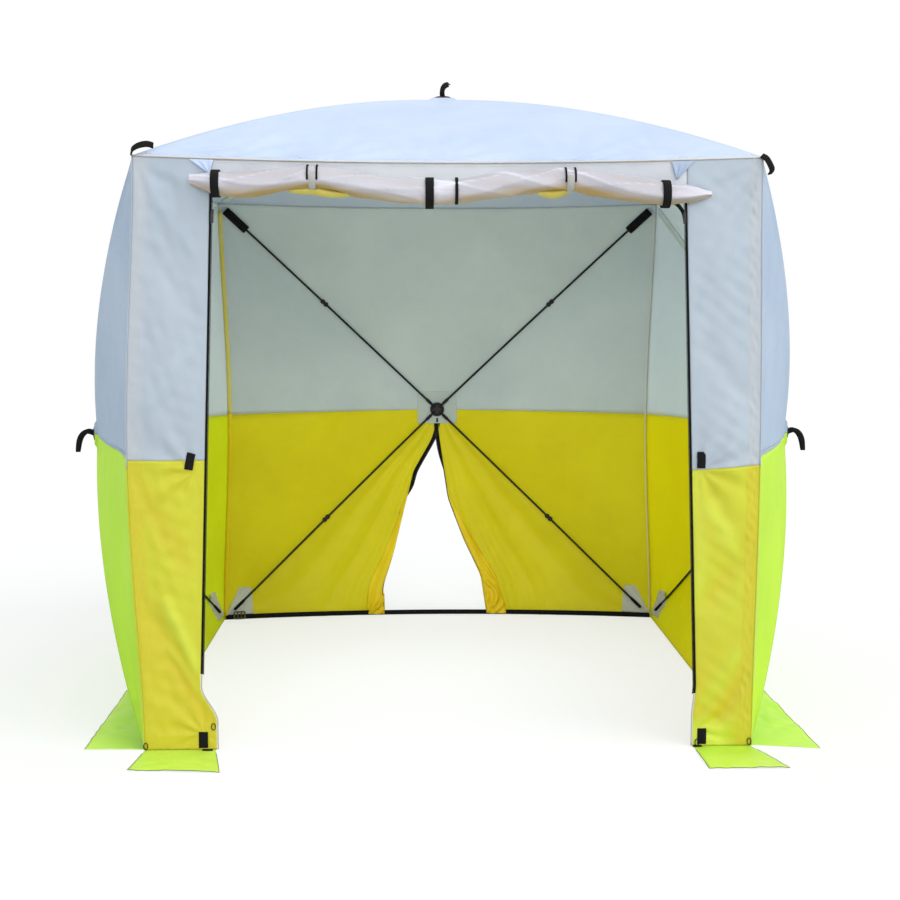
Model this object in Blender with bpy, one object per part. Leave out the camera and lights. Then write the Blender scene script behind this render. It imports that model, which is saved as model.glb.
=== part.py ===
"""Quick-erect work tent with four sprung hub frames, a rolled-up front door and ground flaps.

The tent faces -Y, +X is to the right and +Z is up. Each of the roof, back, left and right faces has one hub
that carries four fibreglass rods on pins. The rods' far ends sit in pockets near the face's corners, so the
hub snaps outwards past the plane of its face and tensions the cloth.
"""

import math

import bmesh
import bpy
from mathutils import Matrix, Vector

# The tent as a whole
SIDE = 1.800
EAVE = 1.730
EAVE_SAG = 0.018
WALL_REACH = 0.317
ROOF_RISE = 0.290
CLOTH = 0.0015
CLOTH_DIP = 0.020
BACK_HEM_BOW = 0.090
FRONT_LEFT_SEAM_BOW = 0.034
FRONT_RIGHT_SEAM_BOW = 0.010
BACK_SEAM_BOW = 0.028
FIT = 0.0003

# Hub moulding, its pins and the cap that clamps the cloth
HUB_RADIUS = 0.030
HUB_BELOW_PIN = 0.008
HUB_ABOVE_PIN = 0.014
FLANGE = 0.004
PIN_CIRCLE = 0.020
PIN_RADIUS = 0.0020
SLOT_WIDTH = 0.0104
SLOT_FLOOR = 0.012
WIRE_STRAIGHT = 0.013
CAP_RADIUS = 0.034
CAP_HEIGHT = 0.007
CAP_CROWN_RADIUS = 0.024
STEM_RADIUS = 0.008
CLAMP_HALF = 0.036

# Fibreglass rods and their fittings
ROD_RADIUS = 0.0045
ROD_BOW = 0.040
ROD_UNDER_CLOTH = 0.010
TIP_SETBACK = 0.063
TIP_HEIGHT = 0.013
BLADE_HALF_HEIGHT = 0.005
COLLAR_RADIUS = 0.0068
COLLAR_START = 0.0165
COLLAR_LENGTH = 0.028
CLIP_RADIUS = 0.0082
CLIP_LENGTH = 0.026
POCKET_LENGTH = 0.112
POCKET_HALF_WIDTH = 0.016
POCKET_HALF_THICKNESS = 0.006
POCKET_DROP = 0.0015
POCKET_END = 0.005

# Pull loops of webbing
WEB_THICKNESS = 0.0020
WEB_WIDTH = 0.020
PULL_OUT = 0.072
PULL_DROP = 0.062
PULL_GAP = 0.030
PULL_SLOT_SPACING = 0.016
PULL_SEAT = 0.003
ROOF_PULL_HEIGHT = 0.046
ROOF_PULL_LEAN = 0.030

# Front posts, header and zips
POST_WIDTH_TOP = 0.215
POST_WIDTH_LOW = 0.165
POST_FLARE = 0.046
FLARE_TOP = 0.190
FLARE_FOOT = 0.085
POST_WAVE = 0.009
HEADER_DEPTH = 0.078
HEADER_END_GAP = 0.0009
ZIP_BELOW_EAVE = 0.090
TAPE_WIDTH = 0.0090
TAPE_THICKNESS = 0.0012
TEETH_WIDTH = 0.0040
TEETH_THICKNESS = 0.0028
SLIDER_BELOW_ZIP_TOP = 0.060
SLIDER_LENGTH = 0.014
SLIDER_WALL = 0.0018
SLIDER_LIP = 0.0006
BRIDGE_HALF_WIDTH = 0.0015
BRIDGE_RISE = 0.0045
TAB_LENGTH = 0.030
TAB_HALF_WIDTH = 0.0042
TAB_THICKNESS = 0.0014

# Rolled door and its ties
ROLL_OVER_LEFT_POST = 0.053
ROLL_OVER_RIGHT_POST = 0.067
ROLL_RADIUS = 0.040
ROLL_BELOW_EAVE = 0.082
ROLL_SWAY = 0.040
STRAP_WIDTH = 0.024
TOGGLE_WIDTH = 0.006
TOGGLE_SPACING = 0.024

# Ground flaps
FLAP_WIDTH = 0.180
FRONT_FLAP_WIDTH = 0.215
FLAP_HINGE_GAP = 0.0009
FLAP_CORNER_GAP = 0.004

# Back door
DOOR_HALF_WIDTH = 0.240
DOOR_CLOSED_HALF = 0.0046
DOOR_FOLD = 0.012
BACK_ZIP_WIDTH = 0.0040
BACK_ZIP_THICKNESS = 0.0024
BACK_SLIDER_LENGTH = 0.018

# Webbing on the skin
HEM_WEB_HEIGHT = 0.020

# How finely the round and woven pieces are divided
ROUND_SIDES = 24
PIN_SIDES = 10
TUBE_SIDES = 6
TUBE_STEPS = 4
SEGMENTS_PER_SIDE = 6
ROLL_STEPS = 24
ROLL_SIDES = 12
ROW_SHARES = (0.13, 0.30, 0.48, 0.66, 0.82, 0.95, 1.0)

# How far down the back wall, and how far out, the edge of each door leaf lies
LEFT_LEAF_SHARES = ((0.05, 0.0), (0.15, 0.10), (0.31, 0.44), (0.71, 0.80), (0.86, 0.98), (1.0, 0.96))
RIGHT_LEAF_SHARES = ((0.05, 0.0), (0.20, 0.07), (0.44, 0.20), (0.64, 0.48), (0.81, 0.78), (1.0, 0.88))
# Along the roll from left to right: place, height of its axis against the sway, and radius
ROLL_SHARES = (
    (0.0, 0.35, 0.25), (0.06, 0.15, 0.72), (0.10, 0.12, 0.88), (0.17, 0.25, 0.90), (0.235, 0.55, 0.78),
    (0.31, 0.05, 0.92), (0.40, -0.50, 0.92), (0.457, -0.62, 0.96), (0.508, -0.45, 0.86), (0.61, 0.05, 0.90),
    (0.725, 0.42, 0.76), (0.82, -0.20, 1.0), (0.91, -0.65, 0.84), (0.96, -0.60, 0.66), (1.0, -0.55, 0.18),
)
STRAP_SHARES = {"left": 0.052, "middle": 0.457, "right": 0.908}
TOGGLE_SHARES = {"left": 0.235, "right": 0.725}


def share_at(table, place, column=1):
    """The value of a table of shares at a place, on straight lines between its rows."""
    for low, high in zip(table, table[1:]):
        if place <= high[0]:
            part = max((place - low[0]) / (high[0] - low[0]), 0.0)
            return low[column] + part * (high[column] - low[column])
    return table[-1][column]


def seam_shape(level):
    """How far an upright corner seam bows at a level from -1 at the ground to 1 at the eave."""
    return (1 - level**2) ** 2


class Face:
    """One sprung face of the tent: its plane, its half sizes and how far its hub stands out."""

    def __init__(self, name, normal, up, centre, half_width, half_height, reach, corners):
        self.name, self.half_width, self.half_height, self.reach = name, half_width, half_height, reach
        self.normal, self.up = Vector(normal), Vector(up)
        across = self.up.cross(self.normal)
        self.matrix = Matrix.Translation(centre) @ Matrix((across, self.up, self.normal)).transposed().to_4x4()
        self.corners = corners
        self.diagonal = math.hypot(half_width, half_height)
        self.pin_height = reach - CLOTH / 2 - FIT - HUB_ABOVE_PIN
        self.tip_radius = self.diagonal - TIP_SETBACK
        self.hem_bow = BACK_HEM_BOW if name == "back" else 0.0
        front_bow = {"left": FRONT_LEFT_SEAM_BOW, "right": FRONT_RIGHT_SEAM_BOW}.get(name)
        self.seam_bows = {sign: front_bow if corner == "front" else -BACK_SEAM_BOW
                          for sign, corner in corners.items()} if front_bow else {}

    def rod_height(self, radius):
        """Height of a rod's centre line over the face's plane, at a distance from the hub's axis."""
        part = (radius - PIN_CIRCLE) / (self.tip_radius - PIN_CIRCLE)
        return self.pin_height + (TIP_HEIGHT - self.pin_height) * part + 4 * ROD_BOW * part * (1 - part)

    def rod_drop(self, x):
        """Height of a rod's centre line against its pin, at a distance along from the pin."""
        return self.rod_height(PIN_CIRCLE + x) - self.pin_height

    def ridge(self, radius):
        """Height of the cloth where it lies over a rod, down to the plane at the corner."""
        if radius < self.tip_radius:
            return self.rod_height(radius) + ROD_UNDER_CLOTH
        left = (self.diagonal - radius) / (self.diagonal - self.tip_radius)
        return (TIP_HEIGHT + ROD_UNDER_CLOTH) * max(left, 0.0)

    def cloth_height(self, across, up):
        """Height of the cloth's middle over the plane, with its dip between the rods and its sagging edges."""
        a, b = abs(across) / self.half_width, abs(up) / self.half_height
        ring, along = max(a, b), min(a, b) / max(a, b)
        height = self.ridge(ring * self.diagonal) - 4 * CLOTH_DIP * ring * (1 - ring) * (1 - along**2)
        if self.name == "roof":
            height -= EAVE_SAG * (1 - along**2) * ring**4
        if up < 0:
            height += self.hem_bow * (1 - a**2) * b**4
        return height + self.seam_bows.get(1 if across > 0 else -1, 0.0) * seam_shape(b) * a**8

    def cloth_point(self, across, up):
        """A point of the cloth in the face's own frame. A wall's top edge sags with the eave."""
        height = self.cloth_height(across, up)
        a, b = abs(across) / self.half_width, up / self.half_height
        if self.name == "back":
            across -= math.copysign(BACK_SEAM_BOW * seam_shape(b) * a**8, across)
        if self.name != "roof" and b > a:
            up -= EAVE_SAG * (1 - (a / b) ** 2) * b**4
        return Vector((across, up, height))


def pull_path(out, drop):
    """The middle line of a pull loop, as (out, down) pairs from its seat on the cap to its tip."""
    shares = ((0.0, 0.0), (0.07, 0.0), (0.20, -0.06), (0.40, -0.10), (0.62, -0.02), (0.80, 0.18), (0.92, 0.48), (1.0, 1.0))
    return [(out * a, drop * b) for a, b in shares]


def pull_reach():
    """How far a wall's pull loop stands out from the cloth."""
    return CLOTH / 2 + FIT + CAP_HEIGHT - PULL_SEAT + PULL_OUT + WEB_WIDTH / 2


FRONT_REACH = SIDE / 2 + FRONT_FLAP_WIDTH
BACK_REACH = SIDE / 2 + WALL_REACH + pull_reach()
CENTRE_Y = (FRONT_REACH - BACK_REACH) / 2
BACK_PLANE = CENTRE_Y + SIDE / 2
FRONT_PLANE = CENTRE_Y - SIDE / 2
MID_HEIGHT = EAVE / 2
INNER_HALF = SIDE / 2 - CLOTH / 2 - FIT
OUTER_HALF = SIDE / 2 + CLOTH / 2
ZIP_TOP = EAVE - ZIP_BELOW_EAVE
ROLL_AXIS = EAVE - ROLL_BELOW_EAVE
ROLL_LEFT = SIDE / 2 - POST_WIDTH_TOP + ROLL_OVER_LEFT_POST
ROLL_RIGHT = SIDE / 2 - POST_WIDTH_TOP + ROLL_OVER_RIGHT_POST

FACES = {
    "left": Face("left", (-1, 0, 0), (0, 0, 1), (-SIDE / 2, CENTRE_Y, MID_HEIGHT), INNER_HALF, MID_HEIGHT,
                 WALL_REACH, {-1: "back", 1: "front"}),
    "right": Face("right", (1, 0, 0), (0, 0, 1), (SIDE / 2, CENTRE_Y, MID_HEIGHT), INNER_HALF, MID_HEIGHT,
                  WALL_REACH, {-1: "front", 1: "back"}),
    "back": Face("back", (0, 1, 0), (0, 0, 1), (0, BACK_PLANE, MID_HEIGHT), OUTER_HALF, MID_HEIGHT,
                 WALL_REACH, {-1: "right", 1: "left"}),
    "roof": Face("roof", (0, 0, 1), (0, 1, 0), (0, CENTRE_Y, EAVE + CLOTH / 2 + 2 * FIT), OUTER_HALF, OUTER_HALF,
                 ROOF_RISE, {-1: "left", 1: "right"}),
}


def material(name, colour, roughness, metallic=0.0):
    made = bpy.data.materials.get(name) or bpy.data.materials.new(name)
    made.use_nodes = True
    shader = made.node_tree.nodes["Principled BSDF"]
    shader.inputs["Base Color"].default_value = (*colour, 1.0)
    shader.inputs["Roughness"].default_value = roughness
    shader.inputs["Metallic"].default_value = metallic
    return made


FINISHES = {
    "pale_cloth": ((0.52, 0.57, 0.66), 0.55),
    "roof_cloth": ((0.62, 0.74, 0.95), 0.55),
    "yellow_cloth": ((0.62, 0.62, 0.05), 0.55),
    "lime_cloth": ((0.45, 0.85, 0.08), 0.55),
    "black_webbing": ((0.012, 0.012, 0.014), 0.85),
    "black_plastic": ((0.02, 0.02, 0.022), 0.45),
    "fibreglass": ((0.015, 0.015, 0.017), 0.35),
    "zip_black": ((0.01, 0.01, 0.012), 0.5),
    "steel": ((0.55, 0.55, 0.56), 0.3, 1.0),
}


def add(name, bm, finish, matrix=None, smooth=True):
    """One named object from a bmesh, with its faces turned outwards."""
    bmesh.ops.recalc_face_normals(bm, faces=bm.faces)
    mesh = bpy.data.meshes.new(name)
    bm.to_mesh(mesh)
    bm.free()
    if smooth:
        mesh.shade_smooth()
        mesh.set_sharp_from_angle(angle=math.radians(40))
    obj = bpy.data.objects.new(name, mesh)
    bpy.context.scene.collection.objects.link(obj)
    obj.matrix_world = matrix or Matrix.Identity(4)
    mesh.materials.append(material(f"{name}_{finish}", *FINISHES[finish]))
    return obj


def cut(target, cutter, operation="DIFFERENCE"):
    """The target bmesh after a Boolean with the cutter bmesh."""
    pair = []
    for bm in (target, cutter):
        bmesh.ops.recalc_face_normals(bm, faces=bm.faces)
        mesh = bpy.data.meshes.new("boolean_step")
        bm.to_mesh(mesh)
        bm.free()
        pair.append(bpy.data.objects.new("boolean_step", mesh))
        bpy.context.scene.collection.objects.link(pair[-1])
    step = pair[0].modifiers.new("step", "BOOLEAN")
    step.object, step.operation = pair[1], operation
    bpy.context.view_layer.update()
    evaluated = pair[0].evaluated_get(bpy.context.evaluated_depsgraph_get())
    result = bmesh.new()
    result.from_mesh(evaluated.to_mesh())
    evaluated.to_mesh_clear()
    for obj in pair:
        bpy.data.objects.remove(obj)
    return result


def skin(bm, loops, close_ends=True, ring=False):
    """Faces between loops of points, each loop closed on itself. ring joins the last loop to the first."""
    made = [[bm.verts.new(p) for p in loop] for loop in loops]
    pairs = list(zip(made, made[1:])) + ([(made[-1], made[0])] if ring else [])
    for one, two in pairs:
        for i in range(len(one)):
            j = (i + 1) % len(one)
            bm.faces.new((one[i], one[j], two[j], two[i]))
    if close_ends and not ring:
        bm.faces.new(made[0])
        bm.faces.new(made[-1])
    return bm


def cylinder(bm, radius, start, end, sides, top_radius=None):
    """A round bar from start to end."""
    start, end = Vector(start), Vector(end)
    turn = (end - start).to_track_quat("Z", "Y").to_matrix()
    loops = []
    for centre, r in ((start, radius), (end, radius if top_radius is None else top_radius)):
        angles = [2 * math.pi * (i + 0.5) / sides for i in range(sides)]
        loops.append([centre + turn @ Vector((r * math.cos(a), r * math.sin(a), 0)) for a in angles])
    return skin(bm, loops)


def box(bm, low, high):
    """A block between two corners."""
    loops = []
    for z in (low[2], high[2]):
        loops.append([Vector((x, y, z)) for x, y in
                      ((low[0], low[1]), (high[0], low[1]), (high[0], high[1]), (low[0], high[1]))])
    return skin(bm, loops)


def cloth_sheet(bm, grid, thick_axis, wrap=False, thickness=CLOTH):
    """A sheet of cloth from rows of points on its middle, thickened along one axis. wrap joins each row's ends."""
    shift = Vector(thick_axis) * thickness / 2
    layers = [[[bm.verts.new(p + s) for p in row] for row in grid] for s in (shift, -shift)]
    count = len(grid[0])
    last = count if wrap else count - 1
    for layer in layers:
        for one, two in zip(layer, layer[1:]):
            for i in range(last):
                j = (i + 1) % count
                bm.faces.new((one[i], one[j], two[j], two[i]))
    for row in (0, -1):
        for i in range(last):
            j = (i + 1) % count
            bm.faces.new((layers[0][row][i], layers[0][row][j], layers[1][row][j], layers[1][row][i]))
    if not wrap:
        for end in (0, -1):
            for i in range(len(grid) - 1):
                bm.faces.new((layers[0][i][end], layers[0][i + 1][end], layers[1][i + 1][end], layers[1][i][end]))
    return bm


def web(bm, points, width_axes, width, thickness=WEB_THICKNESS, ring=False):
    """A strap along points. Each width axis lies across the strap, in its flat side."""
    loops = []
    for i, (point, axis) in enumerate(zip(points, width_axes)):
        ahead = points[(i + 1) % len(points)] if ring or i + 1 < len(points) else point
        behind = points[i - 1] if ring or i else point
        along = (ahead - behind).normalized()
        side = axis.normalized() * width / 2
        lift = along.cross(side).normalized() * thickness / 2
        loops.append([point + side + lift, point - side + lift, point - side - lift, point + side - lift])
    return skin(bm, loops, ring=ring)


def square_ring(share, face, station):
    """A point on the square ring of a face at a station from 0 to 8, counted from the middle of the +across side."""
    corner = [(1, 0), (1, 1), (0, 1), (-1, 1), (-1, 0), (-1, -1), (0, -1), (1, -1), (1, 0)]
    i = min(int(station), 7)
    part = station - i
    x = corner[i][0] + part * (corner[i + 1][0] - corner[i][0])
    y = corner[i][1] + part * (corner[i + 1][1] - corner[i][1])
    return x * share * face.half_width, y * share * face.half_height


def hub_rows(face, stations):
    """The two rows of cloth that the hub clamps: round its hole, and the flat square under the cap."""
    hole = STEM_RADIUS + 4 * FIT
    inner = [Vector((hole * math.cos(s * math.pi / 4), hole * math.sin(s * math.pi / 4), face.reach))
             for s in stations]
    clamp = []
    for s in stations:
        x, y = square_ring(1, face, s)
        clamp.append(Vector((x * CLAMP_HALF / face.half_width, y * CLAMP_HALF / face.half_height, face.reach)))
    return [inner, clamp]


def face_rows(face, stations):
    """The rows of a face's cloth over a run of stations, from its hub to its edge."""
    rows = hub_rows(face, stations)
    rows += [[face.cloth_point(*square_ring(share, face, s)) for s in stations] for share in ROW_SHARES]
    return rows


def spread(start, end, steps):
    return [start + (end - start) * i / steps for i in range(steps + 1)]


def open_seam(rows, column, gap):
    """Moves one end column of the rows away from the wall's middle height by a gap."""
    for row in rows:
        row[column].y += gap
    return rows


def wall_cloth(face):
    """The pale upper and yellow lower half of a side wall, sewn together at the hub's height."""
    steps = 2 * SEGMENTS_PER_SIDE
    upper = face_rows(face, spread(0, 4, steps))
    for column in (0, -1):
        open_seam(upper, column, FIT / 2)
    add(f"{face.name}_wall_upper", cloth_sheet(bmesh.new(), upper, (0, 0, 1)), "pale_cloth", face.matrix)
    lower = face_rows(face, spread(4, 8, steps))
    for column in (0, -1):
        open_seam(lower, column, -FIT / 2)
    add(f"{face.name}_wall_lower", cloth_sheet(bmesh.new(), lower, (0, 0, 1)), "lime_cloth", face.matrix)


def roof_cloth(face):
    stations = spread(0, 8, 4 * SEGMENTS_PER_SIDE)[:-1]
    rows = face_rows(face, stations)
    add("roof_panel", cloth_sheet(bmesh.new(), rows, (0, 0, 1), wrap=True), "roof_cloth", face.matrix)


def leaf_edge(side_name, share):
    """How far from the middle a door leaf's zip edge lies, at a share of the way down."""
    table = LEFT_LEAF_SHARES if side_name == "left" else RIGHT_LEAF_SHARES
    return max(DOOR_HALF_WIDTH * share_at(table, share), DOOR_CLOSED_HALF)


def leaf_rows(face, side_name):
    """A lower quarter of the back wall: its outer side first, then its hem side, drawn aside at the door."""
    sign = 1 if face.corners[1] == side_name else -1
    outer, hem = SEGMENTS_PER_SIDE // 2, SEGMENTS_PER_SIDE + 2
    hole = STEM_RADIUS + 4 * FIT
    rows = [[Vector((sign * hole * math.cos(a), -hole * math.sin(a), face.reach))
             for a in spread(0, math.acos(DOOR_CLOSED_HALF / hole), outer + hem)]]
    for share in (CLAMP_HALF / face.half_height, *ROW_SHARES):
        row = [face.cloth_point(sign * share * face.half_width, -share * face.half_height * part)
               for part in spread(0, 1, outer)[:-1]]
        edge = leaf_edge(side_name, share)
        for part in spread(0, 1, hem):
            across = sign * (share * face.half_width * (1 - part) + edge * part)
            point = face.cloth_point(across, -share * face.half_height)
            folds = math.sin(2 * math.pi * 2.5 * part) * math.sin(math.pi * part)
            point.z += DOOR_FOLD * folds * share * (1 - share**6)
            row.append(point)
        rows.append(row)
    for point in rows[1]:
        point.z = face.reach
    return rows


def back_cloth(face):
    upper = face_rows(face, spread(0, 4, 2 * SEGMENTS_PER_SIDE))
    for column in (0, -1):
        open_seam(upper, column, FIT / 2)
    add("back_wall_upper", cloth_sheet(bmesh.new(), upper, (0, 0, 1)), "pale_cloth", face.matrix)
    for side_name in ("left", "right"):
        rows = leaf_rows(face, side_name)
        open_seam(rows, 0, -FIT / 2)
        add(f"back_wall_lower_{side_name}", cloth_sheet(bmesh.new(), rows, (0, 0, 1)), "yellow_cloth",
            face.matrix)


def back_zip(face):
    """The back door's zip: closed under the hub's cap, then one half along each leaf, and its slider."""
    top = CAP_RADIUS + BACK_ZIP_WIDTH + 4 * FIT
    shares = [top / face.half_height, *ROW_SHARES]
    arms = {}
    for side_name in ("left", "right"):
        sign = 1 if face.corners[1] == side_name else -1
        arm = []
        for share in shares:
            edge = leaf_edge(side_name, share)
            row = []
            for inward in (FIT, BACK_ZIP_WIDTH):
                point = face.cloth_point(sign * edge, -share * face.half_height)
                point.x -= sign * inward
                row.append(point)
            arm.append(row)
        arms[sign] = arm
    height = face.cloth_height(0, top)
    arch = [Vector((0, BACK_ZIP_WIDTH - top, height)), Vector((0, FIT - top, height))]
    rows = [*reversed(arms[-1]), arch, *arms[1]]
    add("back_zip", cloth_sheet(bmesh.new(), rows, (0, 0, 1), thickness=BACK_ZIP_THICKNESS), "zip_black",
        face.matrix)
    half = BACK_ZIP_WIDTH + FIT
    near = face.cloth_height(0, top) - BACK_ZIP_THICKNESS / 2 - FIT
    slider = box(bmesh.new(), (-half, -BACK_SLIDER_LENGTH, -2 * SLIDER_WALL), (half, 0, 0))
    slope = math.atan2(height - face.cloth_height(0, 2 * top), top)
    place = Matrix.Translation((0, -top, near)) @ Matrix.Rotation(slope, 4, "X")
    add("back_zip_slider", slider, "steel", face.matrix @ place)


def rod_angles(face):
    """The four directions of a face's rods, counted round its hub."""
    angle = math.atan2(face.half_height, face.half_width)
    return (angle, math.pi - angle, math.pi + angle, 2 * math.pi - angle)


def wire_ring(face, offset, height):
    """The pin wire's path round the hub, straight where it passes each rod, moved outwards by an offset."""
    far = PIN_CIRCLE + offset
    near = WIRE_STRAIGHT + offset * math.tan(math.pi / 8)
    path = []
    for angle in rod_angles(face):
        turn = Matrix.Rotation(angle, 3, "Z")
        path += [turn @ Vector((far, side * near, height)) for side in (-1, 1)]
    return path


def hub_mesh(face):
    """The moulded hub: a disc with four clevis slots under a flange, and a groove that holds the pin wire."""
    body = cylinder(bmesh.new(), HUB_RADIUS, (0, 0, -HUB_BELOW_PIN), (0, 0, HUB_ABOVE_PIN), ROUND_SIDES)
    slots = bmesh.new()
    for angle in rod_angles(face):
        known = set(slots.verts)
        box(slots, (SLOT_FLOOR, -SLOT_WIDTH / 2, -2 * HUB_BELOW_PIN),
            (2 * HUB_RADIUS, SLOT_WIDTH / 2, HUB_ABOVE_PIN - FLANGE))
        bmesh.ops.rotate(slots, matrix=Matrix.Rotation(angle, 3, "Z"),
                         verts=[v for v in slots.verts if v not in known])
    groove = PIN_RADIUS + FIT
    loops = [wire_ring(face, side * groove, height) for side, height in
             ((1, -2 * HUB_BELOW_PIN), (1, groove), (-1, groove), (-1, -2 * HUB_BELOW_PIN))]
    return cut(cut(body, slots), skin(bmesh.new(), loops, ring=True))


def hub_object(face, turn):
    add(f"{face.name}_hub", hub_mesh(face), "black_plastic", turn)
    angles = [2 * math.pi * (k + 0.5) / TUBE_SIDES for k in range(TUBE_SIDES)]
    loops = [wire_ring(face, PIN_RADIUS * math.cos(a), PIN_RADIUS * math.sin(a)) for a in angles]
    add(f"{face.name}_hub_pin_wire", skin(bmesh.new(), loops, ring=True), "steel", turn)


def cap_object(face, seat):
    """The outer cap that clamps the cloth: a low dome, a stem through the cloth and two slots for the pull."""
    bm = bmesh.new()
    profile = ((STEM_RADIUS, -CLOTH - FIT), (STEM_RADIUS, 0), (CAP_RADIUS, 0), (CAP_RADIUS, CAP_HEIGHT / 3),
               (CAP_CROWN_RADIUS, CAP_HEIGHT))
    angles = [2 * math.pi * (i + 0.5) / ROUND_SIDES for i in range(ROUND_SIDES)]
    skin(bm, [[Vector((r * math.cos(a), r * math.sin(a), z)) for a in angles] for r, z in profile])
    slots = bmesh.new()
    for side in (-1, 1):
        middle = side * PULL_SLOT_SPACING / 2
        half = WEB_THICKNESS / 2 + FIT
        box(slots, (middle - half, -WEB_WIDTH / 2 - FIT, CAP_HEIGHT - PULL_SEAT - FIT),
            (middle + half, WEB_WIDTH / 2 + FIT, 2 * CAP_HEIGHT))
    add(f"{face.name}_hub_cap", cut(bm, slots), "black_plastic", seat)


def pull_object(face, seat):
    """The webbing pull: a loop for the hand that stands out of the cap and droops."""
    roof = face.name == "roof"
    path = pull_path(ROOF_PULL_HEIGHT, ROOF_PULL_LEAN) if roof else pull_path(PULL_OUT, PULL_DROP)
    base = CAP_HEIGHT - PULL_SEAT
    widen = (PULL_GAP - PULL_SLOT_SPACING) / 2
    last = len(path) - 2
    half_gaps = [PULL_SLOT_SPACING / 2 + widen * math.sin(math.pi * max(i - 1, 0) / last)
                 for i in range(len(path) - 1)]
    legs = []
    for side in (1, -1):
        leg = [Vector((side * gap, -down, base + out)) for (out, down), gap in zip(path, half_gaps)]
        legs.append(leg)
    tip = Vector((0, -path[-1][1], base + path[-1][0]))
    points = [*legs[0], tip, *reversed(legs[1])]
    axes = []
    for i in range(len(points)):
        place = min(i, len(points) - 1 - i)
        low, high = max(place - 1, 0), min(place + 1, len(path) - 1)
        run = Vector((0, -(path[high][1] - path[low][1]), path[high][0] - path[low][0]))
        axes.append(Vector((1, 0, 0)).cross(run))
    axes[:2] = axes[-2:] = [Vector((0, 1, 0))] * 2
    add(f"{face.name}_pull", web(bmesh.new(), points, axes, WEB_WIDTH), "black_webbing", seat)


def rod_section(point, along, radius, width=None, drop=0.0):
    """One ring of points square to the rod's run, which lies in its XZ plane. width flattens it."""
    across = Vector((0, 1, 0))
    out = along.cross(across)
    angles = [2 * math.pi * (k + 0.5) / TUBE_SIDES for k in range(TUBE_SIDES)]
    half = radius if width is None else width
    return [point + across * half * math.cos(a) + out * (radius * math.sin(a) + drop) for a in angles]


def knuckle(slope):
    """The end fitting's blade, with a round end and an eye that turns on the hub's pin wire."""
    steps = PIN_SIDES // 2
    outline = [(BLADE_HALF_HEIGHT * math.cos(a), BLADE_HALF_HEIGHT * math.sin(a))
               for a in spread(math.pi / 2, 3 * math.pi / 2, steps)]
    end = COLLAR_START + COLLAR_LENGTH / 4
    outline += [(end, -BLADE_HALF_HEIGHT), (end, BLADE_HALF_HEIGHT)]
    half = SLOT_WIDTH / 2 - FIT
    blade = skin(bmesh.new(), [[Vector((x, y, z)) for x, z in outline] for y in (-half, half)])
    eye = cylinder(bmesh.new(), PIN_RADIUS + 1.5 * FIT, (0, -SLOT_WIDTH, 0), (0, SLOT_WIDTH, 0), PIN_SIDES)
    blade = cut(blade, eye)
    bmesh.ops.rotate(blade, matrix=Matrix.Rotation(slope, 3, "Y"), verts=blade.verts)
    return blade


def rod_profile(span):
    """Along a rod: (distance from its pin, half thickness, half width, drop) from its collar to its pocket."""
    first = COLLAR_START + COLLAR_LENGTH
    middle, clip = span / 2, CLIP_LENGTH / 2
    pocket = span + POCKET_END - POCKET_LENGTH
    rows = [(COLLAR_START, COLLAR_RADIUS, COLLAR_RADIUS, 0), (first, COLLAR_RADIUS, COLLAR_RADIUS, 0)]
    rows += [(x, ROD_RADIUS, ROD_RADIUS, 0) for x in (first + FIT, *spread(first, middle - clip, TUBE_STEPS)[1:-1],
                                                     middle - clip - FIT)]
    rows += [(middle - clip, CLIP_RADIUS, CLIP_RADIUS, 0), (middle + clip, CLIP_RADIUS, CLIP_RADIUS, 0)]
    rows += [(x, ROD_RADIUS, ROD_RADIUS, 0) for x in (middle + clip + FIT,
                                                     *spread(middle + clip, pocket, TUBE_STEPS)[1:-1],
                                                     pocket - FIT)]
    rows += [(pocket, POCKET_HALF_THICKNESS, POCKET_HALF_WIDTH, -POCKET_DROP),
             (span + POCKET_END - POCKET_LENGTH / 4, POCKET_HALF_THICKNESS, POCKET_HALF_WIDTH, -POCKET_DROP),
             (span + POCKET_END, ROD_RADIUS, POCKET_HALF_WIDTH / 2, -POCKET_DROP)]
    return rows


def rod_object(face, across, up, name):
    """One rod with its knuckle, its mid clip and its corner pocket, on the axis of its pin."""
    direction = Vector((across * face.half_width, up * face.half_height, 0)).normalized()
    axis = Vector((0, 0, 1)).cross(direction)
    local = Matrix((direction, axis, Vector((0, 0, 1)))).transposed().to_4x4()
    pin = Matrix.Translation(direction * PIN_CIRCLE + Vector((0, 0, face.pin_height)))
    span = face.tip_radius - PIN_CIRCLE
    slope = math.atan2(-face.rod_drop(COLLAR_START), COLLAR_START)
    loops = []
    for x, thick, wide, drop in rod_profile(span):
        along = Vector((COLLAR_START, 0, face.rod_drop(x + COLLAR_START) - face.rod_drop(x))).normalized()
        loops.append(rod_section(Vector((x, 0, face.rod_drop(x))), along, thick, wide, drop))
    bm = cut(skin(bmesh.new(), loops), knuckle(slope), "UNION")
    add(name, bm, "fibreglass", face.matrix @ pin @ local)


def sprung_face(face):
    """The hub, its cap and pull, and the four rods of one face."""
    hub_object(face, face.matrix @ Matrix.Translation((0, 0, face.pin_height)))
    seat = face.matrix @ Matrix.Translation((0, 0, face.reach + CLOTH / 2 + FIT))
    if face.name == "roof":
        seat = seat @ Matrix.Rotation(math.pi / 2, 4, "Z")
    cap_object(face, seat)
    pull_object(face, seat)
    for up in (1, -1):
        for across in (-1, 1):
            side = face.corners[across]
            if face.name == "roof":
                name = f"roof_rod_{'back' if up > 0 else 'front'}_{side}"
            else:
                name = f"{face.name}_rod_{'upper' if up > 0 else 'lower'}_{side}"
            rod_object(face, across, up, name)


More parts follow.
